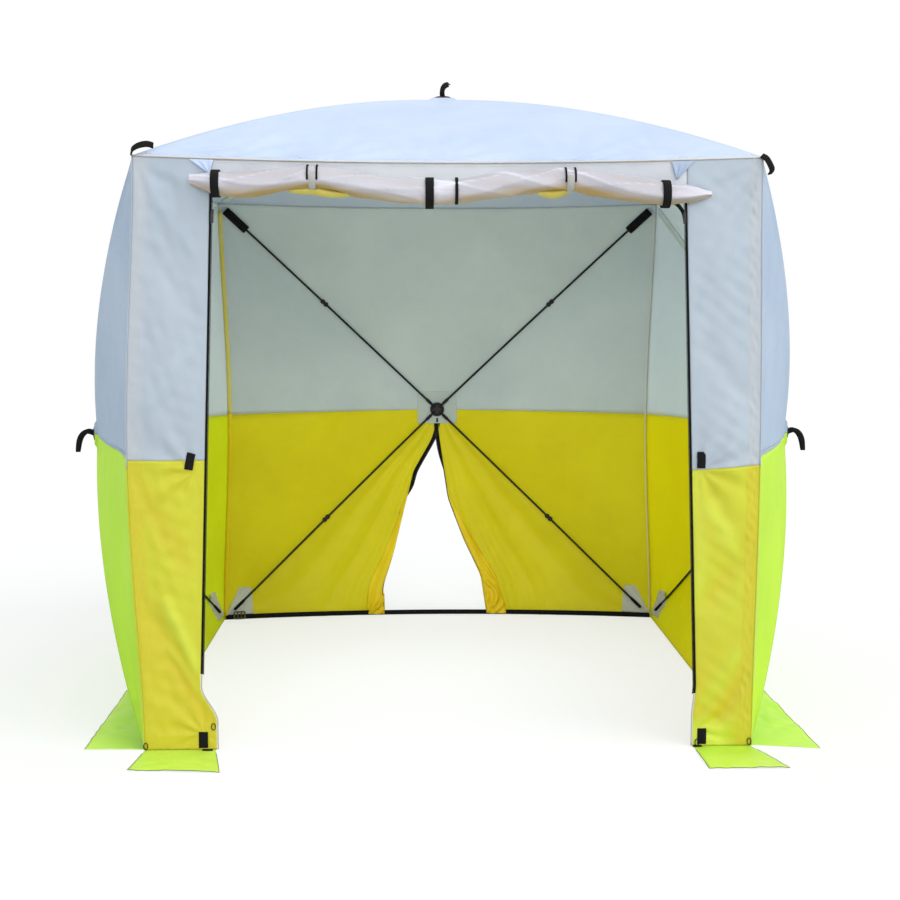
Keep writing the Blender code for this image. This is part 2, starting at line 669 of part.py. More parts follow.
def post_edge(height):
    """How far in from the tent's corner a front post's zip edge lies."""
    if height >= FLARE_TOP:
        part = (height - FLARE_TOP) / (ZIP_TOP - FLARE_TOP)
        return POST_WIDTH_LOW + (POST_WIDTH_TOP - POST_WIDTH_LOW) * part
    part = min((FLARE_TOP - height) / (FLARE_TOP - FLARE_FOOT), 1.0)
    return POST_WIDTH_LOW + POST_FLARE * part


def eave_height(across):
    """Height of the front eave's lower face at a place across the tent."""
    return EAVE - FIT - EAVE_SAG * (1 - (across / OUTER_HALF) ** 2)


POST_ROW_SHARES = (0.0, 0.1, 0.25, 0.45, 0.63, 0.81, 1.0)


def front_posts():
    """The two strips of cloth beside the doorway, each cut along its zip."""
    for name, sign, bow in (("left", -1, FRONT_LEFT_SEAM_BOW), ("right", 1, FRONT_RIGHT_SEAM_BOW)):
        rows = []
        rise = ZIP_TOP - FLARE_TOP
        heights = [0.0, FLARE_FOOT, *[FLARE_TOP + share * rise for share in POST_ROW_SHARES], None]
        for height in heights:
            row = []
            width = post_edge(ZIP_TOP if height is None else height)
            for part in spread(0, 1, 4):
                across = sign * (OUTER_HALF - width * part)
                z = eave_height(across) if height is None else height
                level = min(z / EAVE, 1.0)
                wave = POST_WAVE * math.sin(math.pi * part) * math.sin(math.pi * level) ** 2
                across += sign * bow * seam_shape(2 * level - 1) * (1 - part)
                row.append(Vector((across, FRONT_PLANE - wave, z)))
            rows.append(row)
        add(f"front_post_{name}", cloth_sheet(bmesh.new(), rows, (0, 1, 0)), "yellow_cloth")


def front_header():
    """The band of cloth under the front eave, between the posts."""
    half = OUTER_HALF - POST_WIDTH_TOP - HEADER_END_GAP
    marks = [x * OUTER_HALF * 2 / SEGMENTS_PER_SIDE for x in range(-2, 3)]
    across = [-half, *[x for x in marks if abs(x) < half], half]
    rows = [[Vector((x, FRONT_PLANE, eave_height(x) - drop)) for x in across] for drop in (0, HEADER_DEPTH)]
    add("front_header", cloth_sheet(bmesh.new(), rows, (0, 1, 0)), "pale_cloth")


def zip_frame(sign):
    """The foot of the straight stretch of a front zip, and the unit vectors along it and across it."""
    low = Vector((sign * (OUTER_HALF - POST_WIDTH_LOW), FRONT_PLANE, FLARE_TOP))
    high = Vector((sign * (OUTER_HALF - POST_WIDTH_TOP), FRONT_PLANE, ZIP_TOP))
    along = (high - low).normalized()
    return low, along, Vector((-sign, 0, 0))


def front_zips():
    """A tape with its row of teeth along each post, and the slider parked at its top."""
    tape, teeth = TAPE_THICKNESS / 2, TEETH_THICKNESS / 2
    end = TAPE_WIDTH + TEETH_WIDTH
    section = ((FIT, -tape), (TAPE_WIDTH, -tape), (TAPE_WIDTH, -teeth), (end, -teeth), (end, teeth),
               (TAPE_WIDTH, teeth), (TAPE_WIDTH, tape), (FIT, tape))
    for name, sign in (("left", -1), ("right", 1)):
        heights = [0.0, FLARE_FOOT, FLARE_TOP, ZIP_TOP]
        loops = []
        for height in heights:
            edge = sign * (OUTER_HALF - post_edge(height))
            loops.append([Vector((edge - sign * x, FRONT_PLANE + y, height)) for x, y in section])
        add(f"front_zip_{name}", skin(bmesh.new(), loops), "zip_black")
        low, along, inward = zip_frame(sign)
        top = low + along * ((ZIP_TOP - SLIDER_BELOW_ZIP_TOP - FLARE_TOP) / along.z)
        turn = Matrix((inward, inward.cross(along) * sign, along)).transposed().to_4x4()
        slider_object(f"zip_slider_{name}", Matrix.Translation(top) @ turn, sign)


def slider_object(name, matrix, sign):
    """A slider that grips the teeth from both faces, with a bridge on its front and a hanging tab."""
    front = -1
    teeth = TEETH_THICKNESS / 2 + FIT
    slit = TAPE_THICKNESS / 2 + FIT
    out = teeth + SLIDER_WALL
    start = TAPE_WIDTH - FIT - SLIDER_LIP
    lip = TAPE_WIDTH - FIT
    end = TAPE_WIDTH + TEETH_WIDTH + FIT
    section = ((start, -out), (end + SLIDER_WALL, -out), (end + SLIDER_WALL, out), (start, out), (start, slit),
               (lip, slit), (lip, teeth), (end, teeth), (end, -teeth), (lip, -teeth), (lip, -slit),
               (start, -slit))
    body = skin(bmesh.new(), [[Vector((x, y, z)) for x, y in section] for z in (-SLIDER_LENGTH, 0)])
    middle = (start + end + SLIDER_WALL) / 2
    leg = SLIDER_WALL / 2
    rise = out + BRIDGE_RISE
    arch = [(out - FIT, -3 * leg), (rise, -3 * leg), (rise, -13 * leg), (out - FIT, -13 * leg),
            (out - FIT, -11 * leg), (rise - 2 * leg, -11 * leg), (rise - 2 * leg, -5 * leg), (out - FIT, -5 * leg)]
    bridge = skin(bmesh.new(), [[Vector((x, front * y, z)) for y, z in arch]
                                for x in (middle - BRIDGE_HALF_WIDTH, middle + BRIDGE_HALF_WIDTH)])
    near = rise - leg
    plate = box(bmesh.new(), (middle - TAB_HALF_WIDTH, front * (near + TAB_THICKNESS), -9 * leg - TAB_LENGTH),
                (middle + TAB_HALF_WIDTH, front * near, -9 * leg))
    add(name, cut(cut(body, bridge, "UNION"), plate, "UNION"), "steel", matrix)


def roll_x(share):
    return -ROLL_LEFT + (ROLL_LEFT + ROLL_RIGHT) * share


def roll_place(share):
    """The axis point and radius of the rolled door at a share of its length from the left."""
    radius = ROLL_RADIUS * share_at(ROLL_SHARES, share, 2)
    back = FRONT_PLANE - CLOTH / 2 - WEB_THICKNESS - 3 * FIT
    flat = radius * math.cos(math.pi / ROLL_SIDES)
    return Vector((roll_x(share), back - flat, ROLL_AXIS + ROLL_SWAY * share_at(ROLL_SHARES, share))), radius


def ring_round(centre, radius, sides):
    angles = [2 * math.pi * (k + 0.5) / sides for k in range(sides)]
    return [centre + Vector((0, math.cos(a), math.sin(a))) * radius for a in angles]


def tie_zones():
    """The place of each tie along the roll and half its width, as shares of the roll's length."""
    length = ROLL_LEFT + ROLL_RIGHT
    doubled = TOGGLE_SPACING + TOGGLE_WIDTH
    return [(share, width / length) for shares, width in
            ((STRAP_SHARES, STRAP_WIDTH), (TOGGLE_SHARES, doubled)) for share in shares.values()]


def door_roll():
    """The door's cloth, rolled up, and even in size and height under each tie."""
    stations = [(share, share) for share in spread(0, 1, ROLL_STEPS)
                if all(abs(share - tie) > width for tie, width in tie_zones())]
    stations += [(tie + side * width * 0.6, tie) for tie, width in tie_zones() for side in (-1, 1)]
    loops = []
    for share, source in sorted(stations):
        place, radius = roll_place(source)
        place.x = roll_x(share)
        loops.append(ring_round(place, radius, ROLL_SIDES))
    add("door_roll", skin(bmesh.new(), loops), "pale_cloth")


def tie_band(share, width):
    """A band of webbing round the roll."""
    centre, own = roll_place(share)
    radius = own + 2 * FIT
    loops = []
    for x, r in ((-0.5, radius), (0.5, radius), (0.5, radius + WEB_THICKNESS), (-0.5, radius + WEB_THICKNESS)):
        loops.append(ring_round(centre + Vector((x * width, 0, 0)), r, ROLL_SIDES))
    return skin(bmesh.new(), loops, ring=True), centre, radius


def roll_ties():
    """Three straps and two doubled elastic toggles hold the roll to the header."""
    for name, share in STRAP_SHARES.items():
        add(f"roll_strap_{name}", tie_band(share, STRAP_WIDTH)[0], "black_webbing")
    for name, share in TOGGLE_SHARES.items():
        band, centre, radius = tie_band(share, TOGGLE_SPACING + TOGGLE_WIDTH)
        half = (TOGGLE_SPACING - TOGGLE_WIDTH) / 2
        window = box(bmesh.new(), (centre.x - half, centre.y - 2 * radius, centre.z - 2 * radius),
                     (centre.x + half, centre.y + radius / 2, centre.z + 2 * radius))
        add(f"roll_toggle_{name}", cut(band, window), "black_webbing")


def flap(name, origin, outward, along, half_length, width):
    """A ground flap that lies flat and lifts about the hem it is sewn to."""
    outward, along = Vector(outward), Vector(along)
    turn = Matrix((outward, along, outward.cross(along))).transposed().to_4x4()
    bm = box(bmesh.new(), (0, -half_length, -CLOTH / 2), (width, half_length, CLOTH / 2))
    add(name, bm, "lime_cloth", Matrix.Translation(origin) @ turn, smooth=False)


def ground_flaps():
    """Four flaps: one down each side and one before each post."""
    out = SIDE / 2 + CLOTH / 2 + FLAP_HINGE_GAP
    level = CLOTH / 2
    for name, sign in (("left", -1), ("right", 1)):
        flap(f"{name}_flap", (sign * out, CENTRE_Y, level), (sign, 0, 0), (0, 1, 0),
             SIDE / 2 - FLAP_CORNER_GAP, FLAP_WIDTH)
        width = post_edge(0)
        flap(f"front_flap_{name}", (sign * (OUTER_HALF - width / 2), CENTRE_Y - out, level), (0, -1, 0),
             (1, 0, 0), width / 2 - FIT, FRONT_FLAP_WIDTH - CLOTH / 2 - FLAP_HINGE_GAP)


def hem_web():
    """The webbing across the foot of the back wall, on edge inside the hem."""
    face = FACES["back"]
    inside = CLOTH / 2 + 2 * FIT + WEB_THICKNESS / 2
    end = INNER_HALF - CLOTH - WEB_THICKNESS / 2
    points = [Vector((x, BACK_PLANE + face.cloth_height(x, -face.half_height) - inside,
                      HEM_WEB_HEIGHT / 2 + FIT)) for x in spread(-end, end, ROLL_STEPS)]
    bm = web(bmesh.new(), points, [Vector((0, 0, 1))] * len(points), HEM_WEB_HEIGHT)
    add("hem_strap", bm, "black_webbing")


def clear_scene():
    for obj in list(bpy.data.objects):
        bpy.data.objects.remove(obj)


def build():
    clear_scene()
    for face in FACES.values():
        sprung_face(face)
    roof_cloth(FACES["roof"])
    wall_cloth(FACES["left"])
    wall_cloth(FACES["right"])
    back_cloth(FACES["back"])
    back_zip(FACES["back"])
    front_posts()
    front_header()
    front_zips()
    door_roll()
    roll_ties()
    ground_flaps()
    hem_web()


build()
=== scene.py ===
# %% [markdown]
# # A quick-erect work tent, dressed for its picture
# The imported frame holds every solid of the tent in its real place: hubs, rods, cloth, zips and webbing.
# This lesson puts real looking cloth, seams and straps over those solids. Each step first says what the
# piece is on the real tent and why it is made the way it is.

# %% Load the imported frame
import math

import bmesh
import bpy
import numpy as np
from mathutils import Matrix, Vector


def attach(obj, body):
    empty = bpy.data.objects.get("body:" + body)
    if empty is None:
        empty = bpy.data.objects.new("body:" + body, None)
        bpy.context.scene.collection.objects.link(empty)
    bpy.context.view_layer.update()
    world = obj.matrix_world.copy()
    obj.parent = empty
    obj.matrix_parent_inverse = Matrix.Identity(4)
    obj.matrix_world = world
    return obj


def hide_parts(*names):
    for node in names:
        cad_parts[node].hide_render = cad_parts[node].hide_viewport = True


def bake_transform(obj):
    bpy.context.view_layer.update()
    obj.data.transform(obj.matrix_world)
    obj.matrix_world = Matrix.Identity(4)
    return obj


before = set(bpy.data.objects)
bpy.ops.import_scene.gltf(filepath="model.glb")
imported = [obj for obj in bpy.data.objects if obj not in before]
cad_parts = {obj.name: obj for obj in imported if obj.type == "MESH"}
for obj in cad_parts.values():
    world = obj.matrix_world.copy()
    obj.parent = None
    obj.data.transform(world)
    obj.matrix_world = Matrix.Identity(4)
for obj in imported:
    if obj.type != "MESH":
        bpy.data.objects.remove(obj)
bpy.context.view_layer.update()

# %% [markdown]
# ## The sizes that the cloth follows
# A sprung face is a square of cloth that one hub pushes outwards, so its shape follows a rule: a ridge over
# each rod, a shallow dip between the rods and a straight edge where it is sewn to the next face. The solids
# follow the same rule with fewer points, so the same sizes are named again here.

# %% Sizes of the tent
SIDE, EAVE, EAVE_SAG = 1.800, 1.730, 0.018
WALL_REACH, ROOF_RISE = 0.317, 0.290
CLOTH = 0.0015
CLOTH_DIP, BACK_HEM_BOW = 0.020, 0.090
PIN_CIRCLE, TIP_HEIGHT, TIP_SETBACK = 0.020, 0.013, 0.063
ROD_BOW, ROD_UNDER_CLOTH, PIN_DROP = 0.040, 0.010, 0.01505
CENTRE_Y = -0.094525
FRONT_PLANE, BACK_PLANE = CENTRE_Y - SIDE / 2, CENTRE_Y + SIDE / 2
MID_HEIGHT = EAVE / 2
HALF = SIDE / 2 + CLOTH / 2
SEAM_GAP = 0.0006
FRONT_SEAM_BOWS = {"left": 0.034, "right": 0.010}
BACK_SEAM_BOW = 0.028


def seam_shape(level):
    """How far an upright corner seam bows at a level from -1 at the ground to 1 at the eave."""
    return (1 - np.clip(level, -1, 1) ** 2) ** 2


class Face:
    """One sprung face: its plane, its half sizes and how far its hub stands out."""

    def __init__(self, name, normal, up, centre, half_width, half_height, reach):
        self.name, self.half_width, self.half_height, self.reach = name, half_width, half_height, reach
        self.normal, self.centre = Vector(normal), Vector(centre)
        across = Vector(up).cross(self.normal)
        self.axes = np.array([across, Vector(up), self.normal])
        self.diagonal = math.hypot(half_width, half_height)
        self.pin_height = reach - PIN_DROP
        self.tip_radius = self.diagonal - TIP_SETBACK
        self.hem_bow = BACK_HEM_BOW if name == "back" else 0.0
        front_bow = FRONT_SEAM_BOWS.get(name, 0.0)
        side_bow = (front_bow, -BACK_SEAM_BOW) if front_bow else (0.0, 0.0)
        self.bow_ahead, self.bow_behind = side_bow if name == "left" else side_bow[::-1]

    def rod_height(self, radius):
        part = (radius - PIN_CIRCLE) / (self.tip_radius - PIN_CIRCLE)
        return self.pin_height + (TIP_HEIGHT - self.pin_height) * part + 4 * ROD_BOW * part * (1 - part)

    def cloth_height(self, across, up):
        a, b = np.abs(across) / self.half_width, np.abs(up) / self.half_height
        ring = np.maximum(a, b)
        along = np.minimum(a, b) / np.maximum(ring, 1e-9)
        radius = ring * self.diagonal
        left = np.clip((self.diagonal - radius) / (self.diagonal - self.tip_radius), 0, 1)
        ridge = np.where(radius < self.tip_radius, self.rod_height(radius) + ROD_UNDER_CLOTH,
                         (TIP_HEIGHT + ROD_UNDER_CLOTH) * left)
        height = ridge - 4 * CLOTH_DIP * ring * (1 - ring) * (1 - along**2)
        if self.name == "roof":
            height = height - EAVE_SAG * (1 - along**2) * ring**4
        seam = np.where(np.asarray(across) > 0, self.bow_ahead, self.bow_behind) * seam_shape(b) * a**8
        return height + seam + np.where(np.asarray(up) < 0, self.hem_bow * (1 - a**2) * b**4, 0.0)

    def world(self, across, up, height):
        """Points of the row frame from places across, up and out of the face."""
        if self.name == "back":
            drawn = BACK_SEAM_BOW * seam_shape(up / self.half_height)
            drawn = drawn * (np.abs(across) / self.half_width) ** 8
            across = across - np.sign(across) * drawn
        local = np.stack(np.broadcast_arrays(across, up, height), axis=-1)
        return local @ self.axes + np.array(self.centre)


INNER_HALF = SIDE / 2 - CLOTH / 2 - 0.0003
FACES = {
    "left": Face("left", (-1, 0, 0), (0, 0, 1), (-SIDE / 2, CENTRE_Y, MID_HEIGHT), INNER_HALF, MID_HEIGHT,
                 WALL_REACH),
    "right": Face("right", (1, 0, 0), (0, 0, 1), (SIDE / 2, CENTRE_Y, MID_HEIGHT), INNER_HALF, MID_HEIGHT,
                  WALL_REACH),
    "back": Face("back", (0, 1, 0), (0, 0, 1), (0, BACK_PLANE, MID_HEIGHT), HALF, MID_HEIGHT, WALL_REACH),
    "roof": Face("roof", (0, 0, 1), (0, 1, 0), (0, CENTRE_Y, EAVE + CLOTH / 2 + 0.0006), HALF, HALF,
                 ROOF_RISE),
}
print("faces:", ", ".join(f"{f.name} reaches {f.reach * 1000:.0f} mm" for f in FACES.values()))

# %% [markdown]
# ## The camera
# The picture was taken from chest height, about four metres in front of the doorway and a little to its
# left. The camera's place, turn and lens come from lining up the tent's corners with the picture. Standard is
# the view transform that shows a colour about as it is written.

# %% Camera
CAMERA_PLACE, CAMERA_LENS = (-0.1054, -5.1403, 1.2892), 57.24
CAMERA_PITCH, CAMERA_TURN = math.radians(84.487), math.radians(-1.485)
camera = bpy.data.objects.new("camera", bpy.data.cameras.new("camera"))
bpy.context.scene.collection.objects.link(camera)
camera.location = CAMERA_PLACE
camera.rotation_euler = (CAMERA_PITCH, 0.0, CAMERA_TURN)
camera.data.lens = CAMERA_LENS
camera.data.clip_end = 100.0
bpy.context.scene.camera = camera
bpy.context.scene.view_settings.view_transform = "Standard"
print("camera", round(FRONT_PLANE - CAMERA_PLACE[1], 2), "m in front of the doorway")

# %% [markdown]
# ## A short way to write materials
# A material is a tree of nodes. Wrapping one output of a node in a small class lets a pattern be written as
# a sum in Python, and each operator adds its Math node. One method adds every other kind of node.


# %% The wire class
class Wire:
    """One output of a node in a tree. Operators on it add Math nodes, and node adds any other."""

    def __init__(self, tree, socket=None):
        self.tree, self.socket = tree, socket

    def node(self, kind, settings=None, sockets=None, output=0):
        made = self.tree.nodes.new(kind)
        for name, value in (settings or {}).items():
            setattr(made, name, value)
        for name, value in (sockets or {}).items():
            if isinstance(value, Wire):
                self.tree.links.new(value.socket, made.inputs[name])
            else:
                made.inputs[name].default_value = value
        return Wire(self.tree, made.outputs[output]) if made.outputs else None

    def also(self, output):
        """Another output of the node that this output belongs to."""
        return Wire(self.tree, self.socket.node.outputs[output])

    def math(self, operation, *values):
        return self.node("ShaderNodeMath", {"operation": operation}, dict(enumerate(values)))

    def __add__(self, other):
        return self.math("ADD", self, other)

    def __sub__(self, other):
        return self.math("SUBTRACT", self, other)

    def __rsub__(self, other):
        return self.math("SUBTRACT", other, self)

    def __mul__(self, other):
        return self.math("MULTIPLY", self, other)

    __radd__, __rmul__ = __add__, __mul__

    def sine(self):
        return self.math("SINE", self)

    def positive(self):
        return self.math("ABSOLUTE", self)

    def clip(self):
        return self.node("ShaderNodeClamp", {}, {0: self})

    def step(self, low, high):
        """0 below low and 1 above high, with a soft change between them."""
        return self.node("ShaderNodeMapRange", {"interpolation_type": "SMOOTHSTEP"},
                         {0: self, 1: low, 2: high})

    def mix(self, one, two):
        """Colour one where this is 0 and two where it is 1."""
        return self.node("ShaderNodeMix", {"data_type": "RGBA"}, {0: self, 6: one, 7: two}, output=2)


def rgb(red, green, blue):
    """A colour socket's value from a colour as a picture writes it."""
    def linear(x):
        x /= 255
        return x / 12.92 if x <= 0.04045 else ((x + 0.055) / 1.055) ** 2.4
    return (linear(red), linear(green), linear(blue), 1.0)


def fresh(name):
    """An empty material and a wire to start its nodes from."""
    made = bpy.data.materials.new(name)
    made.use_nodes = True
    made.node_tree.nodes.clear()
    return made, Wire(made.node_tree)


# %% [markdown]
# ## Sky, suns and ground
# The light is a bright, faintly blue sky with a soft sun and a wide fill from the front. A lamp inside the
# tent stands for the light that pale ground throws up there. The ground is one plain sheet, which the camera
# sees nearly white and which keeps the tent's shadow.

# %% Sky
SKY_LIGHT, SKY_TINT, WHITE = 0.78, (0.93, 0.965, 1.0, 1), (1, 1, 1, 1)
world = bpy.data.worlds.new("grey_sky")
bpy.context.scene.world = world
world.use_nodes = True
world.node_tree.nodes.clear()
sky = Wire(world.node_tree)
ray = sky.node("ShaderNodeLightPath", output="Is Camera Ray")
seen = (ray + ray.also("Is Glossy Ray") + ray.also("Is Transmission Ray")).clip()
dome = sky.node("ShaderNodeBackground", {}, {
    "Color": seen.mix(SKY_TINT, WHITE), "Strength": seen * (1 - SKY_LIGHT) + SKY_LIGHT})
sky.node("ShaderNodeOutputWorld", {}, {"Surface": dome})
print("sky light", SKY_LIGHT)

# %% Lamps
SUNS = {"key_sun": (1.30, 55, (50, 0, 55)), "front_fill": (0.95, 40, (80, 0, 0))}
for name, (energy, spread, turn) in SUNS.items():
    lamp = bpy.data.objects.new(name, bpy.data.lights.new(name, "SUN"))
    lamp.data.energy, lamp.data.angle = energy, math.radians(spread)
    lamp.rotation_euler = [math.radians(v) for v in turn]
    bpy.context.scene.collection.objects.link(lamp)

INSIDE_LIGHT, INSIDE_SIZE, INSIDE_PLACE = 17.0, 0.45, (0.0, CENTRE_Y - 0.05, 0.95)
glow = bpy.data.objects.new("inside_fill", bpy.data.lights.new("inside_fill", "POINT"))
glow.data.energy, glow.data.shadow_soft_size = INSIDE_LIGHT, INSIDE_SIZE
glow.location = INSIDE_PLACE
glow.visible_camera = glow.visible_glossy = False
bpy.context.scene.collection.objects.link(glow)
print("suns", SUNS, "and a lamp inside")

# %% Ground
FLOOR_HALF, FLOOR_DROP, FLOOR_GREY, FLOOR_GLOW_SHARE = 14.0, 0.0004, (0.62, 0.62, 0.62, 1), 0.62
bm = bmesh.new()
bm.faces.new([bm.verts.new((x * FLOOR_HALF, y * FLOOR_HALF, -FLOOR_DROP))
              for x, y in ((-1, -1), (1, -1), (1, 1), (-1, 1))])
floor_mesh = bpy.data.meshes.new("ground")
bm.to_mesh(floor_mesh)
bm.free()
ground = bpy.data.objects.new("ground", floor_mesh)
bpy.context.scene.collection.objects.link(ground)
ground_finish, start = fresh("white_ground")
ray = start.node("ShaderNodeLightPath", output="Is Camera Ray")
lit = start.node("ShaderNodeBsdfDiffuse", {}, {"Color": ray.mix(FLOOR_GREY, WHITE)})
bright = start.node("ShaderNodeEmission", {}, {"Color": WHITE, "Strength": 1.0})
surface = start.node("ShaderNodeMixShader", {}, {0: ray * FLOOR_GLOW_SHARE, 1: lit, 2: bright})
start.node("ShaderNodeOutputMaterial", {}, {"Surface": surface})
floor_mesh.materials.append(ground_finish)
print("ground", 2 * FLOOR_HALF, "m square")

# %% [markdown]
# ## The cloth
# The skin is a coated polyester: a fine plain weave under a smooth film. Light shines through it, so a wall
# glows a little from behind. The weave and the tiny creases are bump. Soft patches vary the colour, and the
# same second colour is laid over the crumples' relief as painted shading. The pattern follows the cloth's
# own UV map, which is in metres, so it lies the same way on every face.


# %% The cloth material
WEAVE_PITCH, WEAVE_DEPTH = 0.0024, 0.00004
PATCH_SCALE, CREASE_SCALE, GRAIN_SCALE = 2.6, 11.0, 38.0


def cloth(name, colour, patches, glow=0.25, crease=0.0016, roughness=0.50, painted_shade=None, light=None,
          stretch=(1, 1, 1)):
    """Coated cloth: its colour, the colour of its soft patches and of its painted crease shading, and how
    much light it lets through. The piece's own tint attribute turns it to deep, its painted shade, where it
    is above nothing and to light, its painted highlight, where it is below."""
    made, start = fresh(name)
    across = start.node("ShaderNodeSeparateXYZ", {}, {0: start.node("ShaderNodeUVMap", {"uv_map": "cloth"})})
    turns = 2 * math.pi / WEAVE_PITCH
    weave = (across * turns).sine() * (across.also(1) * turns).sine()
    place = start.node("ShaderNodeTexCoord", output="Object")
    wide = start.node("ShaderNodeTexNoise", {}, {"Vector": place, "Scale": PATCH_SCALE, "Detail": 3.0})
    drawn = start.node("ShaderNodeMapping", {"vector_type": "POINT"}, {"Vector": place, "Scale": stretch})
    fine = start.node("ShaderNodeTexNoise", {}, {
        "Vector": drawn, "Scale": CREASE_SCALE, "Detail": 4.0, "Distortion": 0.6})
    tiny = start.node("ShaderNodeTexNoise", {}, {"Vector": place, "Scale": GRAIN_SCALE, "Detail": 2.0})
    crumple = (fine - 0.5).positive()
    height = weave * WEAVE_DEPTH + crumple * crease + (tiny - 0.5) * (crease * 0.25)
    bump = start.node("ShaderNodeBump", {}, {"Strength": 1.0, "Distance": 1.0, "Height": height})
    # Painted shading: the second colour shows in soft random patches and also over the raised crumples
    # between the crease lines.
    patches_and_crease_shade = (wide.step(0.36, 0.66) * 0.7 + (0.3 - crumple * 1.4)).clip()
    base = patches_and_crease_shade.mix(patches, colour)
    if painted_shade:
        tint = start.node("ShaderNodeAttribute", {"attribute_name": "tint"}, output=2)
        base = (tint * -1.0).clip().mix(tint.clip().mix(base, painted_shade), light or colour)
    coat = start.node("ShaderNodeBsdfPrincipled", {}, {
        "Base Color": base, "Roughness": tiny * 0.2 + (roughness - 0.1), "Normal": bump,
        "Specular IOR Level": 0.35})
    through = start.node("ShaderNodeBsdfTranslucent", {}, {"Color": colour, "Normal": bump})
    both = start.node("ShaderNodeMixShader", {}, {0: glow, 1: coat, 2: through})
    start.node("ShaderNodeOutputMaterial", {}, {"Surface": both})
    return made


# %% Finishes of the tent's cloth, outside and inside
FINISH = {
    # The pale and yellow cloth carry a painted shade and a painted highlight, which the posts' tint lays
    # along folds and corners.
    "pale": cloth("pale_cloth", rgb(196, 207, 218), rgb(186, 197, 210),
                  painted_shade=rgb(204, 206, 210), light=rgb(190, 202, 218)),
    # The side walls' pale cloth is a bluer copy of the pale cloth: painted bluish shade from the sky.
    "pale_side": cloth("pale_side_cloth", rgb(192, 208, 228), rgb(178, 196, 220)),
    # These two pale insides are lighter copies of the pale cloth: painted light for the glow through it
    # inside the tent.
    "pale_inside": cloth("pale_cloth_inside", rgb(214, 223, 220), rgb(200, 210, 209), glow=0.4),
    "pale_inside_side": cloth("pale_side_inside", rgb(240, 248, 246), rgb(228, 238, 236), glow=0.4),
    "roof": cloth("roof_cloth", rgb(212, 226, 249), rgb(202, 219, 246), glow=0.15),
    "roof_inside": cloth("roof_cloth_inside", rgb(205, 214, 226), rgb(192, 203, 218), glow=0.4),
    "header": cloth("header_cloth", rgb(228, 229, 234), rgb(216, 218, 226)),
    "lime": cloth("lime_cloth", rgb(210, 254, 62), rgb(198, 247, 44)),
    # The golden insides are copies of the lime cloth coloured as painted light shining through it, each
    # side's copy tuned to how the light falls there.
    "gold_inside": cloth("gold_cloth_inside", rgb(240, 218, 26), rgb(228, 202, 16), glow=0.4),
    "gold_inside_left": cloth("gold_left_inside", rgb(246, 244, 40), rgb(232, 228, 30), glow=0.4),
    "gold_inside_right": cloth("gold_right_inside", rgb(255, 232, 14), rgb(252, 220, 10), glow=0.4),
    # The yellow cloth's painted shade is golden and its painted highlight lime.
    "yellow": cloth("yellow_cloth", rgb(214, 226, 66), rgb(218, 212, 56), crease=0.0026,
                    painted_shade=rgb(222, 204, 56), light=rgb(226, 240, 88)),
    # The turned hems show the same golden painted light shining through the cloth.
    "gold_hem": cloth("gold_hem", rgb(238, 212, 30), rgb(226, 190, 12), glow=0.1, crease=0.0014),
    # The roll's cloth carries a painted tan shade for its underside and a painted highlight for its raised
    # pleats and ends.
    "roll": cloth("door_cloth", rgb(206, 204, 212), rgb(194, 190, 196), glow=0.1, crease=0.0075,
                  painted_shade=rgb(188, 160, 104), light=rgb(240, 240, 250), stretch=(0.35, 1.5, 1.5)),
    "cream": cloth("seam_tape", rgb(226, 220, 208), rgb(216, 206, 190), glow=0.1),
    "ribbon": cloth("corner_ribbon", rgb(232, 220, 120), rgb(224, 206, 92), glow=0.2),
    "patch": cloth("corner_patch", rgb(200, 202, 192), rgb(184, 186, 176), glow=0.1),
    # The flaps' lighter second colour is a painted sheen, and their darker green a painted shade near the
    # tent.
    "flap": cloth("flap_cloth", rgb(204, 246, 76), rgb(220, 250, 104), glow=0.05, roughness=0.46,
                  painted_shade=rgb(164, 214, 36)),
}
print("cloth finishes:", len(FINISH))

# %% [markdown]
# ## Webbing, plastic, rods and metal
# Webbing is ribbed along its length, so its bump runs on the strap's own UV map. The hubs are moulded nylon
# with a fine grain. The rods are pulled glass fibre, smooth and slightly glossy. Every finish varies a
# little in roughness, because no real surface is one number all over.


# %% Hard and woven finishes
def hard(name, colour, worn, roughness, grain, metallic=0.0, scale=400.0):
    """A moulded or metal surface with a fine grain and worn places."""
    made, start = fresh(name)
    place = start.node("ShaderNodeTexCoord", output="Object")
    fine = start.node("ShaderNodeTexNoise", {}, {"Vector": place, "Scale": scale, "Detail": 2.0})
    wide = start.node("ShaderNodeTexNoise", {}, {"Vector": place, "Scale": 30.0, "Detail": 3.0})
    bump = start.node("ShaderNodeBump", {}, {"Strength": 1.0, "Distance": 1.0, "Height": fine * grain})
    skin = start.node("ShaderNodeBsdfPrincipled", {}, {
        "Base Color": wide.step(0.45, 0.75).mix(colour, worn), "Roughness": wide * 0.25 + (roughness - 0.12),
        "Metallic": metallic, "Normal": bump, "Specular IOR Level": 0.35})
    start.node("ShaderNodeOutputMaterial", {}, {"Surface": skin})
    return made


def woven(name, colour, worn, rib=0.0022, depth=0.00022):
    """Webbing: ribs across the strap and a herringbone along it."""
    made, start = fresh(name)
    across = start.node("ShaderNodeSeparateXYZ", {}, {0: start.node("ShaderNodeUVMap", {"uv_map": "cloth"})})
    turns = 2 * math.pi / rib
    weave = (across.also(1) * turns + (across * turns * 0.5).sine() * 1.4).sine()
    place = start.node("ShaderNodeTexCoord", output="Object")
    wide = start.node("ShaderNodeTexNoise", {}, {"Vector": place, "Scale": 45.0, "Detail": 3.0})
    bump = start.node("ShaderNodeBump", {}, {"Strength": 1.0, "Distance": 1.0, "Height": weave * depth})
    skin = start.node("ShaderNodeBsdfPrincipled", {}, {
        "Base Color": (wide * 0.6 + weave * 0.2).clip().mix(colour, worn), "Roughness": wide * 0.2 + 0.7,
        "Normal": bump, "Specular IOR Level": 0.2})
    start.node("ShaderNodeOutputMaterial", {}, {"Surface": skin})
    return made


